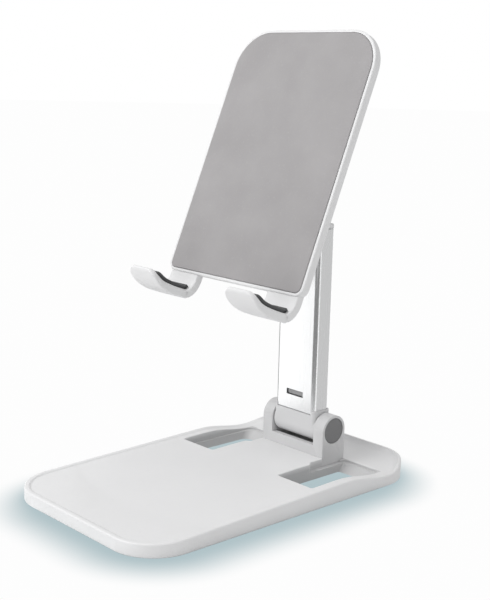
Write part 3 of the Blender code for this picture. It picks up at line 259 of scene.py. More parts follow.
def raw_object(name, bm, matrix=None):
    if matrix is not None:
        bmesh.ops.transform(bm, matrix=matrix, verts=bm.verts[:])
    bmesh.ops.recalc_face_normals(bm, faces=bm.faces[:])
    mesh = bpy.data.meshes.new(name)
    bm.to_mesh(mesh)
    bm.free()
    obj = bpy.data.objects.new(name, mesh)
    bpy.context.scene.collection.objects.link(obj)
    return obj


def carve(obj, bm, operation="DIFFERENCE", matrix=None):
    """Cuts a solid out of the object, or joins it on, and keeps the result as its mesh."""
    other = raw_object("other", bm, matrix)
    modifier = obj.modifiers.new("carve", "BOOLEAN")
    modifier.operation = operation
    modifier.solver = "EXACT"
    modifier.object = other
    graph = bpy.context.evaluated_depsgraph_get()
    mesh = bpy.data.meshes.new_from_object(obj.evaluated_get(graph))
    obj.modifiers.clear()
    obj.data = mesh
    bpy.data.objects.remove(other)


def finished(obj, name, material, body, nodes=(), edge=0.0, angle=35):
    """Names, shades, colours and seats a piece, with its sharp edges rounded by the given width."""
    obj.name = name
    obj.data.materials.clear()
    obj.data.materials.append(material)
    obj.data.polygons.foreach_set("use_smooth", [True] * len(obj.data.polygons))
    if edge:
        bevel = obj.modifiers.new("edges", "BEVEL")
        bevel.width = edge
        bevel.segments = 3
        bevel.limit_method = "ANGLE"
        bevel.angle_limit = math.radians(angle)
        bevel.miter_outer = "MITER_ARC"
    else:
        obj.data.set_sharp_from_angle(angle=math.radians(angle))
    weighted = obj.modifiers.new("normals", "WEIGHTED_NORMAL")
    weighted.keep_sharp = True
    weighted.weight = 60
    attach(obj, body)
    if nodes:
        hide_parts(*nodes)
    return obj


# Materials --------------------------------------------------------------------------------------


class Surface:
    """A Principled material with a few short calls for building its node tree."""

    def __init__(self, name, rough, metal=0.0):
        self.material = bpy.data.materials.new(name)
        self.material.use_nodes = True
        self.tree = self.material.node_tree
        self.shader = self.tree.nodes["Principled BSDF"]
        self.shader.inputs["Metallic"].default_value = metal
        self.shader.inputs["Roughness"].default_value = rough
        self.place = self.tree.nodes.new("ShaderNodeTexCoord").outputs["Object"]

    def node(self, kind, **values):
        node = self.tree.nodes.new(kind)
        for key, value in values.items():
            if hasattr(node, key):
                setattr(node, key, value)
            else:
                node.inputs[key.replace("_", " ")].default_value = value
        return node

    def link(self, source, target):
        self.tree.links.new(source, target)

    def noise(self, scale, detail=2.0, stretch=(1.0, 1.0, 1.0), rough=0.5):
        mapping = self.node("ShaderNodeMapping")
        mapping.inputs["Scale"].default_value = stretch
        self.link(self.place, mapping.inputs["Vector"])
        noise = self.node("ShaderNodeTexNoise", Scale=scale, Detail=detail, Roughness=rough)
        self.link(mapping.outputs["Vector"], noise.inputs["Vector"])
        return noise.outputs["Fac"]

    def ranged(self, value, low, high, from_low=0.3, from_high=0.7, curve="LINEAR"):
        node = self.node("ShaderNodeMapRange", interpolation_type=curve)
        numbers = {"From Min": from_low, "From Max": from_high, "To Min": low, "To Max": high}
        for key, number in numbers.items():
            node.inputs[key].default_value = number
        self.link(value, node.inputs["Value"])
        return node.outputs["Result"]

    def mix(self, factor, one, two):
        """Mixes two colours, each given as numbers or as a socket."""
        node = self.node("ShaderNodeMix", data_type="RGBA")
        self.link(factor, node.inputs[0])
        for socket, colour in ((node.inputs[6], one), (node.inputs[7], two)):
            if isinstance(colour, tuple):
                socket.default_value = (*colour, 1.0)
            else:
                self.link(colour, socket)
        return node.outputs[2]

    def bump(self, height, strength, distance, base=None):
        node = self.node("ShaderNodeBump", Strength=strength, Distance=distance)
        self.link(height, node.inputs["Height"])
        if base is not None:
            self.link(base, node.inputs["Normal"])
        return node.outputs["Normal"]

    def finish(self, colour=None, rough=None, normal=None):
        for socket, name in ((colour, "Base Color"), (rough, "Roughness"), (normal, "Normal")):
            if socket is not None:
                self.link(socket, self.shader.inputs[name])
        return self.material

    def vector(self, operation, source, numbers=None):
        node = self.node("ShaderNodeVectorMath", operation=operation)
        self.link(source, node.inputs[0])
        if numbers:
            node.inputs[1].default_value = numbers
        return node.outputs["Value" if operation == "LENGTH" else "Vector"]

    def within(self, low, high, top_fade):
        """1 inside a box of the object's own space, fading out over its top, 0 elsewhere."""
        middle = [0.5 * (a + b) for a, b in zip(low, high)]
        half = [0.5 * (b - a) for a, b in zip(low, high)]
        across = self.vector("ABSOLUTE", self.vector("SUBTRACT", self.place, middle))
        beyond = self.vector("SUBTRACT", across, half)
        split = self.node("ShaderNodeSeparateXYZ")
        self.link(beyond, split.inputs["Vector"])
        mask = None
        for axis, fade in (("X", 0.00003), ("Y", 0.00003), ("Z", top_fade)):
            side = self.ranged(split.outputs[axis], 1.0, 0.0, -fade, 0.0)
            if mask is None:
                mask = side
                continue
            both = self.node("ShaderNodeMath", operation="MULTIPLY")
            self.link(mask, both.inputs[0])
            self.link(side, both.inputs[1])
            mask = both.outputs["Value"]
        return mask

    def edges(self):
        """1 on convex edges, 0 elsewhere."""
        geometry = self.node("ShaderNodeNewGeometry")
        return self.ranged(geometry.outputs["Pointiness"], 0.0, 1.0, 0.52, 0.60)


def scaled(colour, factor):
    return tuple(channel * factor for channel in colour)


def moulded(name, colour, rough=0.46, grain=0.30, fine=5200.0, painted_shade=None):
    """Injection-moulded plastic: fine spark-eroded grain, faint flow clouds, edges polished by handling.

    An optional box, fade and factor darken the colour inside the box: painted shade for recesses.
    """
    surface = Surface(name, rough)
    surface.shader.inputs["Specular IOR Level"].default_value = 0.45
    clouds = surface.noise(55.0, 3.0)
    tint = surface.mix(clouds, scaled(colour, 0.975), scaled(colour, 1.015))
    specks = surface.noise(900.0, 2.0)
    tint = surface.mix(surface.ranged(specks, 0.0, 0.5, 0.62, 0.80), tint, scaled(colour, 0.94))
    tint = surface.mix(surface.edges(), tint, scaled(colour, 1.05))
    # painted shade: inside the given box the colour is darkened, standing for the shade that falls in recesses
    if painted_shade:
        low, high, fade, factor = painted_shade
        tint = surface.mix(surface.within(low, high, fade), tint, scaled(colour, factor))
    gloss = surface.ranged(surface.noise(240.0, 4.0), rough - 0.05, rough + 0.06)
    coarse = surface.bump(surface.noise(1500.0, 3.0), grain * 0.5, 0.00004)
    normal = surface.bump(surface.noise(fine, 2.0), grain, 0.00002, coarse)
    return surface.finish(tint, gloss, normal)


def silicone(name, colour, rough=0.62, dimple=2600.0):
    """Soft matte rubber: tiny dimples, a faint bloom and dust-like mottling."""
    surface = Surface(name, rough)
    surface.shader.inputs["Sheen Weight"].default_value = 0.25
    surface.shader.inputs["Sheen Roughness"].default_value = 0.4
    surface.shader.inputs["Specular IOR Level"].default_value = 0.35
    bloom = surface.noise(70.0, 4.0)
    tint = surface.mix(surface.ranged(bloom, 0.0, 1.0), scaled(colour, 0.95), scaled(colour, 1.05))
    dust = surface.ranged(surface.noise(1800.0, 2.0), 0.0, 0.6, 0.60, 0.78)
    tint = surface.mix(dust, tint, scaled(colour, 1.18))
    gloss = surface.ranged(surface.noise(160.0, 3.0), rough - 0.07, rough + 0.08)
    cells = surface.node("ShaderNodeTexVoronoi", Scale=dimple)
    surface.link(surface.place, cells.inputs["Vector"])
    normal = surface.bump(cells.outputs["Distance"], 0.22, 0.00005)
    normal = surface.bump(surface.noise(700.0, 4.0), 0.10, 0.00006, normal)
    return surface.finish(tint, gloss, normal)


def brushed(name, colour, rough=0.24, along_axis=(1.0, 1.0, 0.02), lines=2600.0, depth=0.025):
    """Satin metal with fine streaks along one direction and faint handling haze."""
    surface = Surface(name, rough, 1.0)
    streaks = surface.noise(lines, 3.0, along_axis, 0.6)
    haze = surface.noise(60.0, 4.0)
    tint = surface.mix(surface.ranged(streaks, 0.0, 1.0), scaled(colour, 0.985), scaled(colour, 1.01))
    tint = surface.mix(surface.ranged(haze, 0.0, 0.35), tint, scaled(colour, 0.97))
    gloss = surface.ranged(streaks, rough - 0.02, rough + 0.05)
    normal = surface.bump(streaks, depth, 0.00001)
    return surface.finish(tint, gloss, normal)


def steel(name, colour, rough=0.32):
    """Plated or blackened steel: fine pitting, cloudy roughness, brighter worn edges."""
    surface = Surface(name, rough, 1.0)
    tint = surface.mix(surface.noise(400.0, 4.0), scaled(colour, 0.88), scaled(colour, 1.08))
    tint = surface.mix(surface.edges(), tint, scaled(colour, 1.4))
    gloss = surface.ranged(surface.noise(700.0, 3.0), rough - 0.08, rough + 0.1)
    return surface.finish(tint, gloss, surface.bump(surface.noise(3000.0, 3.0), 0.12, 0.00002))


# Base -------------------------------------------------------------------------------------------


def tray_ring(inset):
    """The tray's outline moved inwards; every ring has the same number of points."""
    radius = BASE_CORNER - inset
    x, near, far = BASE_WIDTH / 2 - BASE_CORNER, BASE_CORNER, BASE_LENGTH - BASE_CORNER
    centres = ((x, near), (x, far), (-x, far), (-x, near))
    ring = []
    for turn, centre in enumerate(centres):
        for step in range(25):
            angle = math.pi / 2 * (turn - 1 + step / 24)
            ring.append((centre[0] + radius * math.cos(angle), centre[1] + radius * math.sin(angle)))
        after = centres[(turn + 1) % 4]
        out = math.pi / 2 * turn
        start = ring[-1]
        end = (after[0] + radius * math.cos(out), after[1] + radius * math.sin(out))
        count = (54, 26)[turn % 2]
        for step in range(1, count):
            t = step / count
            ring.append((start[0] + (end[0] - start[0]) * t, start[1] + (end[1] - start[1]) * t))
    return ring


def edge_depth(x, y):
    """Distance inwards from the tray's outline, and the y of the nearest point on it."""
    over_x = abs(x) - (BASE_WIDTH / 2 - BASE_CORNER)
    over_y = max(y - (BASE_LENGTH - BASE_CORNER), BASE_CORNER - y)
    if over_x > 0 and over_y > 0:
        reach = math.hypot(over_x, over_y)
        return BASE_CORNER - reach, BASE_LENGTH - BASE_CORNER * (1 - over_y / reach)
    if over_x > over_y:
        return BASE_WIDTH / 2 - abs(x), y
    return min(y, BASE_LENGTH - y), BASE_LENGTH


def tray_height(x, y):
    """Height of the tray's upper surface: rim, floor, rear platform, cove and rear lip."""
    depth, near_y = edge_depth(x, y)
    rising = min(RIM_FRONT + RIM_SLOPE * y, RIM_HIGHEST)
    rim = rising + (PLATFORM + 0.0002 - rising) * smoothstep(DIP_START, DIP_END, y)
    dip = smoothstep(*(STRIP_DIP if abs(x) < STRIP_HALF else (DIP_START, DIP_END)), y)
    flat = rising - FLOOR_DROP + (PLATFORM - rising + FLOOR_DROP) * dip
    height = rim + (flat - rim) * smoothstep(RIM_BAND, RIM_BAND + RIM_STEP, depth)
    if y > BASE_LENGTH / 2:
        cove = min(max((depth - LIP_BAND) / (COVE_DEPTH - LIP_BAND), 0.0), 1.0)
        rise = 1 - math.sqrt(1 - (1 - cove) ** 2)
        height += (LIP_TOP - PLATFORM) * rise * smoothstep(LIP_FADE_START, LIP_FADE_END, near_y)
    return height


def cutout():
    """The right-hand hook cutout: square at the front, round at the rear, a jog beside the fork."""
    corners = [
        (CUTOUT_OUTER, CUTOUT_FRONT),
        (CUTOUT_OUTER, CUTOUT_REAR),
        (CUTOUT_FORK_SIDE, CUTOUT_REAR),
        (CUTOUT_FORK_SIDE, 0.0812),
        (CUTOUT_INNER, 0.0798),
        (CUTOUT_INNER, CUTOUT_FRONT),
    ]
    return dense(rounded(corners, (0.0007, 0.0035, 0.0028, 0.0014, 0.0014, 0.0007), 8), GRID)


def spread(value, span, new_span):
    """Moves a value from its place in one span to the matching place in another."""
    return new_span[0] + (new_span[1] - new_span[0]) * (value - span[0]) / (span[1] - span[0])


def narrowed(loop, span_x, span_y):
    """A cutout's outline fitted to narrower spans, straight past the jog beside the fork."""
    result = []
    for x, y in loop:
        new_x = spread(max(abs(x), CUTOUT_INNER), (CUTOUT_INNER, CUTOUT_OUTER), span_x)
        result.append((math.copysign(new_x, x), spread(y, (CUTOUT_FRONT, CUTOUT_REAR), span_y)))
    return result


def cutout_step(loop):
    """The ledge's inner edge: a little inside the wall, but hardly at all on the inner side."""
    span_x = (CUTOUT_INNER + STEP_INNER_LEDGE, CUTOUT_OUTER - STEP_LEDGE)
    return narrowed(loop, span_x, (CUTOUT_FRONT + 2 * STEP_LEDGE, CUTOUT_REAR - 2 * STEP_LEDGE))


def cutout_foot(loop):
    """Where the wall below the ledge reaches the underside: wide enough for a hook to pass."""
    return narrowed(loop, (FOOT_INNER, FOOT_OUTER), (FOOT_FRONT, FOOT_REAR))


def tray_shell():
    """The tray as one closed mesh with its two cutouts."""
    bm = bmesh.new()

    def ring(points, height):
        return [bm.verts.new((x, along(y), height(x, y))) for x, y in points]

    rings = []
    for inset, lift in fillet(FOOT_FILLET, 3):
        rings.append(ring(tray_ring(inset), lambda x, y, rise=lift: UNDERSIDE + rise))
    for inset, drop in reversed(fillet(TRAY_FILLET, 6)):
        rings.append(ring(tray_ring(inset), lambda x, y, lower=drop: tray_height(x, y) - lower))
    for inset in RINGS:
        rings.append(ring(tray_ring(inset), tray_height))
    for one, two in zip(rings, rings[1:]):
        bridge(bm, one, two)
    under, upper = rings[0], rings[-1]

    right = cutout()
    holes, under_holes = [], []
    for loop in (right, mirrored(right)):
        stack = [ring(offset(loop, distance), tray_height) for distance in reversed(CUTOUT_RINGS)]
        for inset, drop in fillet(CUTOUT_FILLET, 4):
            stack.append(ring(offset(loop, inset), lambda x, y, lower=drop: tray_height(x, y) - lower))
        step = cutout_step(loop)
        stack.append(ring(loop, lambda x, y: STEP_HEIGHT))
        stack.append(ring(step, lambda x, y: STEP_HEIGHT - STEP_DROP))
        stack.append(ring(cutout_foot(loop), lambda x, y: UNDERSIDE))
        for one, two in zip(stack, stack[1:]):
            bridge(bm, one, two)
        holes.append(stack[0])
        under_holes.append(stack[-1])

    loops = [upper, *holes]
    known = [vert for loop in loops for vert in loop]
    flat = [Vector((vert.co.x, vert.co.y - BASE_LOW.y)) for vert in known]
    walls = [offset(right, CUTOUT_RINGS[-1] + 0.5 * GRID)]
    walls.append(mirrored(walls[0]))
    y = GRID
    while y < BASE_LENGTH:
        steps = int(BASE_WIDTH / 2 / GRID)
        for step in range(-steps, steps + 1):
            point = (step * GRID, y)
            clear = edge_depth(*point)[0] > RINGS[-1] + 0.5 * GRID
            if clear and not any(inside(point, wall) for wall in walls):
                flat.append(Vector(point))
        y += GRID
    edges, start = [], 0
    for loop in loops:
        count = len(loop)
        edges += [(start + index, start + (index + 1) % count) for index in range(count)]
        start += count
    points, _, triangles, origins, _, _ = delaunay_2d_cdt(flat, edges, [], 1, 1e-7)
    verts = []
    for point, origin in zip(points, origins):
        if origin and origin[0] < len(known):
            verts.append(known[origin[0]])
        else:
            verts.append(bm.verts.new((point.x, along(point.y), tray_height(point.x, point.y))))
    gaps = [offset(right, CUTOUT_RINGS[-1] - 1e-5)]
    gaps.append(mirrored(gaps[0]))
    for triangle in triangles:
        middle = sum((Vector(points[index]) for index in triangle), Vector((0.0, 0.0))) / 3
        if not any(inside(middle, gap) for gap in gaps):
            bm.faces.new([verts[index] for index in triangle])

    loops = [under, *under_holes]
    verts = [vert for loop in loops for vert in loop]
    for triangle in tessellate_polygon([[vert.co for vert in loop] for loop in loops]):
        bm.faces.new([verts[index] for index in triangle])
    return raw_object("tray", bm)


def box_slab(bm, x0, x1, y0, y1, low, high, radius=0.0):
    slab(bm, rectangle(x0, x1, along(y0), along(y1), radius, 8), low, high)


def node_outline(node, grow=0.0, radius=0.0):
    """A rounded rectangle around a CAD node, seen from above."""
    low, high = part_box(node)
    return rectangle(low.x - grow, high.x + grow, low.y - grow, high.y + grow, radius)


def centre_of(node):
    low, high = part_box(node)
    return (low + high) / 2


FEET = ("foot_pad_front", "foot_pad_left", "foot_pad_right")
COVER_SCREWS = tuple(f"cover_screw_{end}_{side}" for end in ("front", "rear") for side in ("left", "right"))
FORK_SCREWS = ("fork_screw_left", "fork_screw_right")


def make_base(materials):
    tray = tray_shell()
    bm = bmesh.new()
    slab(bm, cover_outline(0.0003), -0.001, 0.0025)
    carve(tray, bm)
    bm = bmesh.new()
    slab(bm, node_outline("ballast_plate", 0.0003, 0.004), 0.0022, 0.0035)
    box_slab(bm, -0.01397, 0.01397, FORK_FRONT - 0.0001, FORK_REAR + 0.0001, 0.0020, 0.02)
    for foot in FEET[1:]:
        slab(bm, node_outline(foot, 0.0003, 0.0025), -0.001, 0.00105)
    carve(tray, bm)
    bm = bmesh.new()
    for screw in FORK_SCREWS:
        counterbore(bm, screw, 0.0024, 0.00125)
    carve(tray, bm)
    finished(tray, "tray", materials["tray"], "base", ["base_shell"])

    bm = bmesh.new()
    slab(bm, cover_outline(), UNDERSIDE, UNDERSIDE + 0.0011, 0.00018, 0.0, steps=3)
    cover = raw_object("cover", bm)
    bm = bmesh.new()
    slab(bm, node_outline(FEET[0], 0.0003, 0.0025), -0.001, 0.00105)
    for screw in COVER_SCREWS:
        counterbore(bm, screw, 0.0019, 0.0009)
    carve(cover, bm)
    finished(cover, "under_cover", materials["cover"], "base", ["bottom_cover"])

    for foot in FEET:
        low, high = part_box(foot)
        bm = bmesh.new()
        slab(bm, dense(node_outline(foot, 0.0, 0.0022), 0.001), low.z, high.z, 0.0003, 0.0)
        finished(raw_object(foot, bm), foot + "_soft", materials["foot"], "base", [foot])
    for screw in (*COVER_SCREWS, *FORK_SCREWS):
        make_screw(screw, materials["steel"])


def cover_outline(grow=0.0):
    low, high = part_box("bottom_cover")
    radii = (0.011 + grow, 0.002, 0.002, 0.011 + grow)
    return rectangle(low.x - grow, high.x + grow, low.y - grow, high.y + grow, radii, 14)


SMALL_HEAD, SMALL_HEAD_DEPTH, HEAD_DEPTH = 0.0018, 0.0003, 0.0007
PIN_BORE, NUT_SEAT = 0.00165, 0.0034


def counterbore(bm, screw, radius, depth):
    """A round seat for a screw's head, cut from below the underside."""
    centre = centre_of(screw)
    profile = [(-0.001, 0.0), (-0.001, radius), (depth, radius), (depth, 0.0)]
    lathe(bm, profile, Vector((centre.x, centre.y, 0)), "z", 40)


def stepped(starts, radii):
    """Half-profile of a stepped bore: each radius runs from its start to the next."""
    profile = [(starts[0], 0.0)]
    for radius, start, end in zip(radii, starts, starts[1:]):
        profile += [(start, radius), (end, radius)]
    return [*profile, (starts[-1], 0.0)]


def make_screw(node, material):
    """Pan-head screw seen from below, with a cross recess."""
    low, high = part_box(node)
    centre = centre_of(node)
    head = 0.5 * (high.x - low.x)
    seat = low.z + (SMALL_HEAD_DEPTH if head < SMALL_HEAD else HEAD_DEPTH)
    crown = [(low.z + drop, head - inset) for inset, drop in fillet(0.00025, 4)]
    bm = bmesh.new()
    profile = [(low.z, 0.0), *crown, (seat, head), (seat, 0.5 * head), (high.z, 0.5 * head), (high.z, 0.0)]
    lathe(bm, profile, Vector((centre.x, centre.y, 0.0)), "z", 40)
    screw = raw_object(node, bm)
    arm, slit = 0.62 * head, 0.14 * head
    cross = [(arm, -slit), (arm, slit), (slit, slit), (slit, arm), (-slit, arm), (-slit, slit)]
    cross += [(-x, -y) for x, y in cross]
    bm = bmesh.new()
    slab(bm, [(centre.x + x, centre.y + y) for x, y in cross], low.z - 0.001, seat - 0.0001)
    carve(screw, bm)
    finished(screw, node + "_head", material, "base", [node])


# Hinge fork and column --------------------------------------------------------------------------


def make_fork(materials):
    foot = 0.00215
    high = HINGE.z + 0.0060
    outline = [
        (-FORK_HALF, foot),
        (FORK_HALF, foot),
        (FORK_HALF, high),
        (SLOT_HALF, high),
        (SLOT_HALF, BAR_TOP),
        (-SLOT_HALF, BAR_TOP),
        (-SLOT_HALF, high),
        (-FORK_HALF, high),
    ]
    bm = bmesh.new()
    slab(bm, outline, along(FORK_FRONT) - 0.002, along(FORK_REAR) + 0.002, axis="y")
    fork = raw_object("fork", bm)
    radius = 0.49999 * (FORK_REAR - FORK_FRONT)
    front, rear, top = along(FORK_FRONT), along(FORK_REAR), HINGE.z + radius
    side = [(front, 0.0), (rear, 0.0), (rear, top), (front, top)]
    bm = bmesh.new()
    slab(bm, rounded(side, (0.0, 0.0, radius, radius), 20), -0.03, 0.03, axis="x")
    carve(fork, bm, "INTERSECT")
    bm = bmesh.new()
    trough = rectangle(along(FORK_FRONT + 0.0018), along(FORK_REAR - 0.0012), 0.0060, high + 0.002)
    slab(bm, trough, -SLOT_HALF, SLOT_HALF, axis="x")
    carve(fork, bm)
    bm = bmesh.new()
    seat = FORK_HALF - CAP_DEPTH - 0.0001
    floor = seat - 0.00235
    for end in (-1, 1):
        starts = (FORK_HALF - 0.006, floor, seat, FORK_HALF + 0.002)
        profile = stepped(starts, (PIN_BORE, NUT_SEAT, CAP_RADIUS + 0.00012))
        lathe(bm, [(end * t, r) for t, r in profile], HINGE)
    for screw in FORK_SCREWS:
        centre = centre_of(screw)
        slab(bm, circle(centre.x, centre.y, 0.0010, 24), 0.0, 0.0075)
    carve(fork, bm)
    finished(fork, "fork", materials["fork"], "base", ["hinge_fork"], edge=0.00028)
    for side_name, end in (("left", -1), ("right", 1)):
        face = FORK_HALF - 0.00002
        bm = bmesh.new()
        profile = disc_profile(face - CAP_DEPTH + 0.0002, face, CAP_RADIUS, 0.00018, 0.00006)
        lathe(bm, [(end * t, r) for t, r in profile], HINGE)
        cap = raw_object("cap", bm)
        finished(cap, f"fork_cap_{side_name}", materials["cap"], "base", [f"base_cap_{side_name}"])


def tube_outline(inset=0.0, steps=14):
    edge = max(TUBE_CORNER - inset, 0.0004)
    side, front, rear = TUBE_HIGH.x - inset, TUBE_LOW.y + inset, TUBE_HIGH.y - inset
    return rectangle(-side, side, front, rear, edge, steps)


def cross_bore(bm, centre, radius=0.0018, half=0.0112):
    lathe(bm, [(-half, 0.0), (-half, radius), (half, radius), (half, 0.0)], centre, steps=48)


def make_knuckle(materials):
    bm = bmesh.new()
    lathe(bm, disc_profile(-BARREL_HALF, BARREL_HALF, BARREL_RADIUS, 0.0004), HINGE, steps=96)
    knuckle = raw_object("knuckle", bm)
    bm = bmesh.new()
    front, rear = HINGE.y - BARREL_RADIUS, along(SOCKET_REAR)
    slab(bm, rectangle(-SOCKET_HALF, SOCKET_HALF, front, rear, 0.0012, 10), HINGE.z, SOCKET_TOP, 0.0, 0.0003)
    carve(knuckle, bm, "UNION")
    bm = bmesh.new()
    slab(bm, tube_outline(-0.00012), 0.01835, SOCKET_TOP + 0.002)
    cross_bore(bm, HINGE)
    carve(knuckle, bm)
    bm = bmesh.new()
    slab(bm, tube_outline(TUBE_WALL + 0.00015), 0.0170, 0.0300, 0.0, 0.0003)
    carve(knuckle, bm, "UNION")
    bm = bmesh.new()
    face = TUBE_LOW.y + TUBE_WALL
    slab(bm, rectangle(-0.0036, 0.0036, 0.0204, 0.0290), face - 0.002, face + 0.00125, axis="y")
    carve(knuckle, bm)
    finished(knuckle, "knuckle", materials["knuckle"], "column", ["column_knuckle"])


def make_tube(materials):
    low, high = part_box("column_tube")
    bm = bmesh.new()
    slab(bm, tube_outline(), low.z, high.z, 0.00015, 0.00025, steps=3)
    tube = raw_object("tube", bm)
    bm = bmesh.new()
    slab(bm, tube_outline(TUBE_WALL), low.z - 0.001, high.z + 0.001)
    carve(tube, bm)
    bm = bmesh.new()
    window = rectangle(-WINDOW_HALF, WINDOW_HALF, WINDOW_LOW, WINDOW_HIGH, 0.00018, 4)
    slab(bm, window, TUBE_LOW.y - 0.002, TUBE_LOW.y + 0.0018, axis="y")
    carve(tube, bm)
    finished(tube, "tube", materials["tube"], "column", ["column_tube"])
    low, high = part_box("tube_collar")
    bm = bmesh.new()
    slab(bm, tube_outline(), low.z, high.z, 0.0001, 0.0004)
    collar = raw_object("collar", bm)
    bm = bmesh.new()
    slab(bm, slider_outline(0.00015), low.z - 0.001, high.z + 0.001)
    carve(collar, bm)
    finished(collar, "collar", materials["knuckle"], "column", ["tube_collar"])


def slider_outline(grow=0.0):
    low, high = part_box("column_slider")
    return rectangle(low.x - grow, high.x + grow, low.y - grow, high.y + grow, 0.0006 + grow, 8)


def make_slider(materials):
    low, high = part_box("column_slider")
    bm = bmesh.new()
    slab(bm, slider_outline(), low.z, high.z, 0.0002, 0.0002, steps=3)
    slider = raw_object("slider", bm)
    middle = 0.5 * (low.y + high.y)
    bm = bmesh.new()
    pocket = rectangle(-0.0032, 0.0032, low.z + 0.0010, low.z + 0.0130, 0.0004, 4)
    slab(bm, pocket, middle + 0.0010, middle + 0.004, axis="y")
    pin = centre_of("head_pin")
    slab(bm, circle(0.0, pin.z, 0.0008, 32), middle - 0.004, middle + 0.004, axis="y")
    carve(slider, bm)
    finished(slider, "slider_bar", materials["slider"], "slider", ["column_slider"])

    low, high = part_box("slider_head")
    knuckle_half, neck, skirt_half, depth = 0.0060, 0.0028, high.x, 0.0031
    radius = high.z - PIVOT.z
    shoulder = PIVOT.z - 0.0075
    bm = bmesh.new()
    lathe(bm, disc_profile(-knuckle_half, knuckle_half, radius, 0.0004), PIVOT, steps=80)
    head = raw_object("head", bm)
    bm = bmesh.new()
    profile = [
        (middle - depth, low.z + 0.001),
        (middle + depth, low.z + 0.001),
        (middle + depth, shoulder - 0.0012),
        (PIVOT.y + neck, PIVOT.z),
        (PIVOT.y - neck, PIVOT.z),
        (middle - depth, shoulder - 0.0012),
    ]
    neck_side = rounded(profile, (0, 0, 0.002, 0, 0, 0.002), 8)
    slab(bm, neck_side, -knuckle_half, knuckle_half, 0.0003, 0.0003, axis="x")
    carve(head, bm, "UNION")
    bm = bmesh.new()
    skirt = rectangle(-skirt_half, skirt_half, middle - depth, middle + depth, 0.0014, 10)
    slab(bm, skirt, low.z, shoulder + 0.0003, 0.0003, 0.0010)
    carve(head, bm, "UNION")
    bm = bmesh.new()
    slab(bm, slider_outline(0.00015), low.z - 0.002, PIVOT.z - 0.00885)
    cross_bore(bm, PIVOT, half=0.0080)
    carve(head, bm)
    bm = bmesh.new()
    slab(bm, circle(0.0, pin.z, 0.0008, 32), middle - 0.006, middle + 0.006, axis="y")
    carve(head, bm)
    finished(head, "head", materials["knuckle"], "slider", ["slider_head"])


# Cradle -----------------------------------------------------------------------------------------


def plate_outline(inset=0.0):
    half = PLATE_HALF - inset
    top, foot = PLATE_TOP_RADIUS - inset, max(PLATE_FOOT_RADIUS - inset, 0.0005)
    return rectangle(-half, half, PLATE_FOOT + inset, PLATE_TOP - inset, (foot, top, top, foot), 24)


def hook_path():
    """Centre line of a hook in the s, w plane: down the back, round the bend, out and up to the lip."""
    half = HOOK_WALL / 2
    start = PLATE_BACK + half
    path = [(start, 0.0075), (start, 0.0034)]
    for step in range(9):
        angle = math.pi + math.radians(78) * step / 8
        path.append((start + 0.0042 + 0.0042 * math.cos(angle), 0.0008 + 0.0058 * math.sin(angle)))
    path += [(0.0060, -0.0051), (0.0085, -0.0050), (0.0107, -0.0047)]
    path += [(0.0126, -0.0041), (0.0141, -0.0033), (0.0153, -0.0024), (0.0163, -0.0014)]
    return path


def spline(path, samples):
    """Catmull-Rom curve through the path's points, as evenly spaced points and its length."""
    points = [Vector(point) for point in path]
    fine = []
    for index in range(len(points) - 1):
        a = points[max(index - 1, 0)]
        b, c = points[index], points[index + 1]
        d = points[min(index + 2, len(points) - 1)]
        for step in range(16):
            t = step / 16
            bend, twist = 2 * a - 5 * b + 4 * c - d, 3 * b - a - 3 * c + d
            fine.append(0.5 * ((2 * b) + (c - a) * t + bend * t**2 + twist * t**3))
    fine.append(points[-1])
    lengths = [0.0]
    for one, two in zip(fine, fine[1:]):
        lengths.append(lengths[-1] + (two - one).length)
    total = lengths[-1]
    result = []
    index = 0
    for position in samples(total):
        while index < len(lengths) - 2 and lengths[index + 1] < position:
            index += 1
        t = (position - lengths[index]) / (lengths[index + 1] - lengths[index])
        point = fine[index].lerp(fine[index + 1], t)
        ahead = (fine[min(index + 2, len(fine) - 1)] - fine[max(index - 1, 0)]).normalized()
        result.append((point, ahead, total - position))
    return result


def tongue(bm, path, middle, half_width, thickness, corner, edge, taper, tip):
    """A strip along a path with soft edges, whose far end narrows and thins to a rounded lip."""

    def samples(total):
        steps = [total - 0.0004 * k for k in range(1, int(total / 0.0004))][::-1]
        ends = [total - x for x in (0.00025, 0.00012, 0.00004, 0.0)]
        return [0.0, *steps, *ends]

    rings = []
    for point, ahead, left in spline(path, samples):
        narrow = corner - math.sqrt(max(corner**2 - max(corner - left, 0.0) ** 2, 0.0))
        half = half_width - 0.93 * narrow
        thin = thickness * (1 - taper * smoothstep(0.0110, 0.0, left))
        if left < tip:
            thin *= max(math.sqrt(1 - (1 - left / tip) ** 2), 0.12)
        across = Vector((-ahead.y, ahead.x))
        round_edge = min(edge, 0.49 * thin)
        section = rectangle(-half, half, -thin / 2, thin / 2, round_edge, 6)
        ring = []
        for u, v in section:
            ring.append(Vector((middle + u, point.y + across.y * v, point.x + across.x * v)))
        rings.append(ring)
    skin(bm, rings)


def hook_middle():
    return 0.5 * (HOOK_INNER + HOOK_OUTER), 0.5 * (HOOK_OUTER - HOOK_INNER)


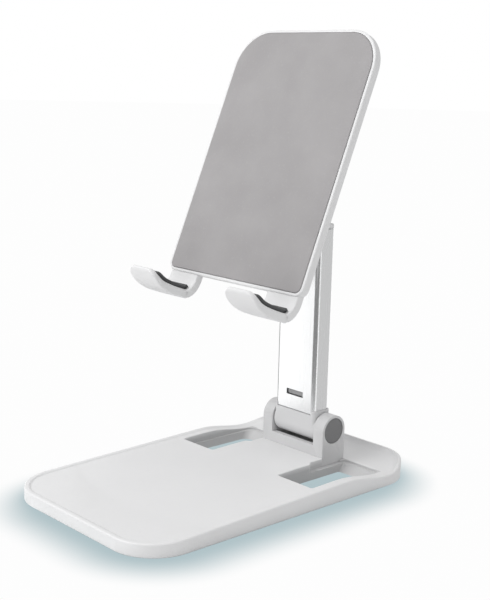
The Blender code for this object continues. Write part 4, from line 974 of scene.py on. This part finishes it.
def make_cradle(materials):
    bm = bmesh.new()
    slab(bm, plate_outline(), PLATE_BACK, PLATE_FACE, 0.0011, 0.0005, steps=7)
    plate = raw_object("plate", bm, CRADLE)
    middle, half = hook_middle()
    bm = bmesh.new()
    for side in (-1, 1):
        tongue(bm, hook_path(), side * middle, half, HOOK_WALL, 0.0035, 0.0006, 0.45, 0.0007)
    carve(plate, bm, "UNION", CRADLE)
    bm = bmesh.new()
    slab(bm, plate_outline(0.0009), -0.0012, 0.002)
    carve(plate, bm, matrix=CRADLE)
    bm = bmesh.new()
    slab(bm, rectangle(-0.01465, 0.01465, 0.05835, 0.08065, 0.0022), PLATE_BACK - 0.002, -0.00185)
    carve(plate, bm, matrix=CRADLE)
    bm = bmesh.new()
    slab(bm, rectangle(-0.0096, 0.0096, -0.002, 0.0590), PLATE_BACK - 0.002, PLATE_BACK + 0.0005)
    carve(plate, bm, matrix=CRADLE)
    finished(plate, "cradle_plate", materials["shell"], "cradle", ["cradle_frame"])

    bm = bmesh.new()
    slab(bm, plate_outline(0.00102), -0.00105, 0.0, 0.0, 0.0003, steps=5)
    finished(raw_object("pad", bm, CRADLE), "cradle_pad_soft", materials["pad"], "cradle", ["cradle_pad"])

    bend = hook_path()
    inner = []
    for point, ahead, left in spline(bend, lambda total: [total * k / 80 for k in range(81)]):
        if 0.0026 < left < 0.0190:
            across = Vector((-ahead.y, ahead.x))
            inner.append(tuple(point + across * (HOOK_WALL / 2 + 0.00015 + 0.0005)))
    for name, side in (("left", -1), ("right", 1)):
        bm = bmesh.new()
        tongue(bm, inner, side * middle, half - 0.0010, 0.0010, 0.0018, 0.00035, 0.0, 0.0005)
        liner = raw_object("liner", bm, CRADLE)
        finished(liner, f"hook_lining_{name}", materials["liner"], "cradle", [f"hook_liner_{name}"])


def make_yoke(materials):
    face, back = -0.0020, -0.0032
    bm = bmesh.new()
    slab(bm, rectangle(-0.0145, 0.0145, 0.0585, 0.0805, 0.002), back, face, 0.0003, 0.0)
    yoke = raw_object("yoke", bm, CRADLE)
    radius, root = 0.0039, 0.0062
    bm = bmesh.new()
    for side in (-1, 1):
        lug = [(PIVOT_S + root, back + 0.0006), (PIVOT_S - root, back + 0.0006)]
        for step in range(25):
            angle = math.pi + math.pi * step / 24
            lug.append((PIVOT_S + radius * math.cos(angle), PIVOT_W + radius * math.sin(angle)))
        low, high = sorted((side * 0.0063, side * 0.0103))
        slab(bm, lug, low, high, 0.0003, 0.0003, axis="x")
    carve(yoke, bm, "UNION", CRADLE)
    bm = bmesh.new()
    for x in (-0.0118, 0.0118):
        for s in (0.0615, 0.0775):
            slab(bm, circle(x, s, 0.0020, 32), back - 0.0012, back + 0.0004, 0.0003, 0.0)
    carve(yoke, bm, "UNION", CRADLE)
    bm = bmesh.new()
    for x in (-0.0118, 0.0118):
        for s in (0.0615, 0.0775):
            slab(bm, circle(x, s, 0.0009, 24), -0.0039, face + 0.002)
    carve(yoke, bm, matrix=CRADLE)
    bm = bmesh.new()
    for side in (-1, 1):
        profile = stepped((0.0053, 0.0072, 0.0123), (PIN_BORE, NUT_SEAT))
        lathe(bm, [(side * t, r) for t, r in profile], PIVOT)
    carve(yoke, bm)
    finished(yoke, "yoke", materials["knuckle"], "cradle", ["cradle_yoke"])
    for name, side in (("left", -1), ("right", 1)):
        bm = bmesh.new()
        profile = disc_profile(0.00965, 0.01025, 0.0033, 0.00015, 0.00006)
        lathe(bm, [(side * t, r) for t, r in profile], PIVOT)
        cap = raw_object("cap", bm)
        finished(cap, f"yoke_cap_{name}", materials["cap"], "cradle", [f"pivot_cap_{name}"])


# CAD nodes that stay ----------------------------------------------------------------------------


def dress_nodes(materials):
    finishes = {
        "ballast_plate": "dark_steel",
        "base_spring_washer": "dark_steel",
        "pivot_spring_washer": "dark_steel",
        "tube_lock_clip": "clip",
    }
    for name, obj in frame["nodes"].items():
        obj.data.materials.clear()
        obj.data.materials.append(materials[finishes.get(name, "steel")])


# Stage ------------------------------------------------------------------------------------------

CAMERA_AT = Vector((0.2541, -0.2259, 0.1268))
CAMERA_YAW, CAMERA_PITCH, CAMERA_ROLL = math.radians(47.25), math.radians(11.3), math.radians(1.406)
CAMERA_LENS = 69.06


def make_camera():
    data = bpy.data.cameras.new("camera")
    data.lens = CAMERA_LENS
    data.clip_start = 0.01
    obj = bpy.data.objects.new("camera", data)
    right = Vector((math.cos(CAMERA_YAW), math.sin(CAMERA_YAW), 0.0))
    level = Vector((-math.sin(CAMERA_YAW), math.cos(CAMERA_YAW), 0.0))
    ahead = level * math.cos(CAMERA_PITCH) - Vector((0.0, 0.0, math.sin(CAMERA_PITCH)))
    up = right.cross(ahead)
    across = right * math.cos(CAMERA_ROLL) + up * math.sin(CAMERA_ROLL)
    above = up * math.cos(CAMERA_ROLL) - right * math.sin(CAMERA_ROLL)
    obj.matrix_world = Matrix.Translation(CAMERA_AT) @ Matrix((across, above, -ahead)).transposed().to_4x4()
    bpy.context.scene.collection.objects.link(obj)
    bpy.context.scene.camera = obj


SHADE_AT, SHADE_HALF = (0.0040, -0.0035, 0.0), (BASE_WIDTH / 2, BASE_LENGTH / 2, 0.0)
SHADE_CORNER, SHADE_INSIDE, SHADE_OUTSIDE = 0.0200, 0.0050, 0.0150
FLOOR_WHITE, FLOOR_SHADE = (0.985, 0.985, 0.985), (0.44, 0.545, 0.575)
MIRRORED_FLOOR = 1.25


def floor_material():
    """Pale ground, lit evenly to the eye, with a soft cool shade gathered round the base."""
    surface = Surface("floor", 0.6)

    core = tuple(max(half - SHADE_CORNER, 0.0) for half in SHADE_HALF)
    across = surface.vector("ABSOLUTE", surface.vector("SUBTRACT", surface.place, SHADE_AT))
    outside = surface.vector("MAXIMUM", surface.vector("SUBTRACT", across, core), (0.0, 0.0, 0.0))
    distance = surface.vector("LENGTH", outside)
    near, far = SHADE_CORNER - SHADE_INSIDE, SHADE_CORNER + SHADE_OUTSIDE
    shade = surface.ranged(distance, 1.0, 0.0, near, far, "SMOOTHSTEP")
    occlusion = surface.node("ShaderNodeAmbientOcclusion", samples=8)
    occlusion.inputs["Distance"].default_value = 0.012
    clear = surface.ranged(occlusion.outputs["AO"], 0.0, 1.0, 0.30, 0.98)
    colour = surface.mix(shade, FLOOR_WHITE, FLOOR_SHADE)
    colour = surface.mix(clear, FLOOR_SHADE, colour)
    surface.link(colour, surface.shader.inputs["Emission Color"])
    path = surface.node("ShaderNodeLightPath")
    seen = surface.node("ShaderNodeMath", operation="MULTIPLY_ADD")
    surface.link(path.outputs["Is Glossy Ray"], seen.inputs[0])
    seen.inputs[1].default_value = MIRRORED_FLOOR
    surface.link(path.outputs["Is Camera Ray"], seen.inputs[2])
    surface.link(seen.outputs["Value"], surface.shader.inputs["Emission Strength"])
    under = surface.ranged(distance, 1.0, 0.0, near, SHADE_CORNER, "SMOOTHSTEP")
    bounce = surface.mix(under, (0.90, 0.90, 0.90), (0.35, 0.35, 0.35))
    bounce = surface.mix(seen.outputs["Value"], bounce, (0.0, 0.0, 0.0))
    surface.link(bounce, surface.shader.inputs["Base Color"])
    surface.shader.inputs["Specular IOR Level"].default_value = 0.0
    return surface.material


def make_floor():
    bm = bmesh.new()
    skin(bm, [[Vector((x, y, 0.0)) for x, y in circle(0.0, 0.0, 4.0, 96)]], caps=False)
    bm.faces.new(bm.verts[:])
    floor = raw_object("floor", bm)
    floor.data.materials.append(floor_material())


def make_card(name, start, end, strength, radius, height=0.25):
    """An upright card curved about the column that only shows in shiny surfaces."""
    bm = bmesh.new()
    rows = []
    for z in (0.0, height):
        angles = [math.radians(start + (end - start) * step / 16) for step in range(17)]
        offsets = [Vector((radius * math.cos(a), radius * math.sin(a), z - HINGE.z)) for a in angles]
        rows.append([bm.verts.new(HINGE + offset) for offset in offsets])
    for index in range(16):
        bm.faces.new((rows[0][index], rows[0][index + 1], rows[1][index + 1], rows[1][index]))
    card = raw_object(name, bm)
    material = bpy.data.materials.new(name)
    material.use_nodes = True
    shader = material.node_tree.nodes["Principled BSDF"]
    shader.inputs["Base Color"].default_value = (0.0, 0.0, 0.0, 1.0)
    shader.inputs["Specular IOR Level"].default_value = 0.0
    shader.inputs["Emission Color"].default_value = (1.0, 1.0, 1.0, 1.0)
    shader.inputs["Emission Strength"].default_value = strength
    card.data.materials.append(material)
    card.visible_camera = False
    card.visible_diffuse = False
    card.visible_shadow = False
    card.visible_transmission = False


def make_light(name, at, size, power, colour=(1.0, 1.0, 1.0)):
    data = bpy.data.lights.new(name, "AREA")
    data.shape = "DISK"
    data.size = size
    data.energy = power
    data.color = colour
    obj = bpy.data.objects.new(name, data)
    target = Vector((0.0, 0.0, 0.03))
    obj.location = at
    obj.rotation_euler = (target - Vector(at)).to_track_quat("-Z", "Y").to_euler()
    bpy.context.scene.collection.objects.link(obj)


def make_world():
    """White to the camera; for lighting, a sky that is brighter overhead."""
    world = bpy.data.worlds.new("studio")
    world.use_nodes = True
    tree = world.node_tree
    background = tree.nodes["Background"]
    background.inputs["Color"].default_value = (1.0, 1.0, 1.0, 1.0)
    path = tree.nodes.new("ShaderNodeLightPath").outputs["Is Camera Ray"]
    direction = tree.nodes.new("ShaderNodeTexCoord").outputs["Generated"]
    split = tree.nodes.new("ShaderNodeSeparateXYZ")
    tree.links.new(direction, split.inputs["Vector"])
    sky = tree.nodes.new("ShaderNodeMapRange")
    for key, number in (("From Min", 0.0), ("From Max", 1.0), ("To Min", SKY_LOW), ("To Max", SKY_HIGH)):
        sky.inputs[key].default_value = number
    tree.links.new(split.outputs["Z"], sky.inputs["Value"])
    chosen = tree.nodes.new("ShaderNodeMix")
    tree.links.new(path, chosen.inputs[0])
    tree.links.new(sky.outputs["Result"], chosen.inputs[2])
    chosen.inputs[3].default_value = 1.0
    tree.links.new(chosen.outputs[0], background.inputs["Strength"])
    bpy.context.scene.world = world


SKY_LOW, SKY_HIGH = 0.51, 0.90
KEY_POWER = 4.2

WHITE = (0.755, 0.755, 0.76)
HAIR = 0.00005
# painted shade: darkens the lower walls of the hook cutouts, where shade falls
CUTOUT_PAINTED_SHADE = (
    (-CUTOUT_OUTER - HAIR, along(CUTOUT_FRONT - HAIR), -0.0050),
    (CUTOUT_OUTER + HAIR, along(CUTOUT_REAR + HAIR), 0.0050),
    0.0012,
    0.76,
)
# painted shade: darkens the slot floor between the fork's ears, under the barrel
FORK_PAINTED_SHADE = (
    (-SLOT_HALF - HAIR, along(FORK_FRONT + 0.0017), 0.0),
    (SLOT_HALF + HAIR, along(FORK_REAR - 0.0011), BAR_TOP - 0.0001),
    0.0008,
    0.55,
)
MATERIALS = {
    "shell": moulded("white_plastic", WHITE),
    "tray": moulded("tray_plastic", WHITE, painted_shade=CUTOUT_PAINTED_SHADE),
    "cover": moulded("cover_plastic", (0.70, 0.70, 0.705), 0.55, 0.5),
    # fork grey, darker than the tray's white: partly the plastic's own tone, partly painted shade for the shade
    # over the hinge
    "fork": moulded("fork_plastic", (0.63, 0.63, 0.635), painted_shade=FORK_PAINTED_SHADE),
    "knuckle": moulded("knuckle_plastic", (0.69, 0.69, 0.695)),
    "cap": moulded("cap_plastic", (0.205, 0.205, 0.208), 0.5),
    "clip": moulded("clip_plastic", (0.33, 0.33, 0.335), 0.5),
    "pad": silicone("pad_silicone", (0.340, 0.329, 0.333)),
    "liner": silicone("liner_silicone", (0.075, 0.076, 0.078)),
    "foot": silicone("foot_silicone", (0.20, 0.20, 0.205)),
    "tube": brushed("tube_aluminium", (0.90, 0.905, 0.91)),
    "slider": brushed("slider_aluminium", (0.84, 0.845, 0.85), 0.2),
    "steel": steel("plated_steel", (0.56, 0.56, 0.57)),
    "dark_steel": steel("dark_steel", (0.20, 0.20, 0.21), 0.42),
}

dress_nodes(MATERIALS)
make_base(MATERIALS)
make_fork(MATERIALS)
make_knuckle(MATERIALS)
make_tube(MATERIALS)
make_slider(MATERIALS)
make_cradle(MATERIALS)
make_yoke(MATERIALS)

make_camera()
make_floor()
make_card("dark_card", 240, 350, 0.25, 0.075)
make_card("grey_card", 5, 75, 0.60, 0.036)
make_card("edge_card", 130, 205, 0.35, 0.075)
make_light("key", (-0.30, -0.62, 0.66), 0.55, KEY_POWER)
make_world()
bpy.context.scene.view_settings.view_transform = "Standard"
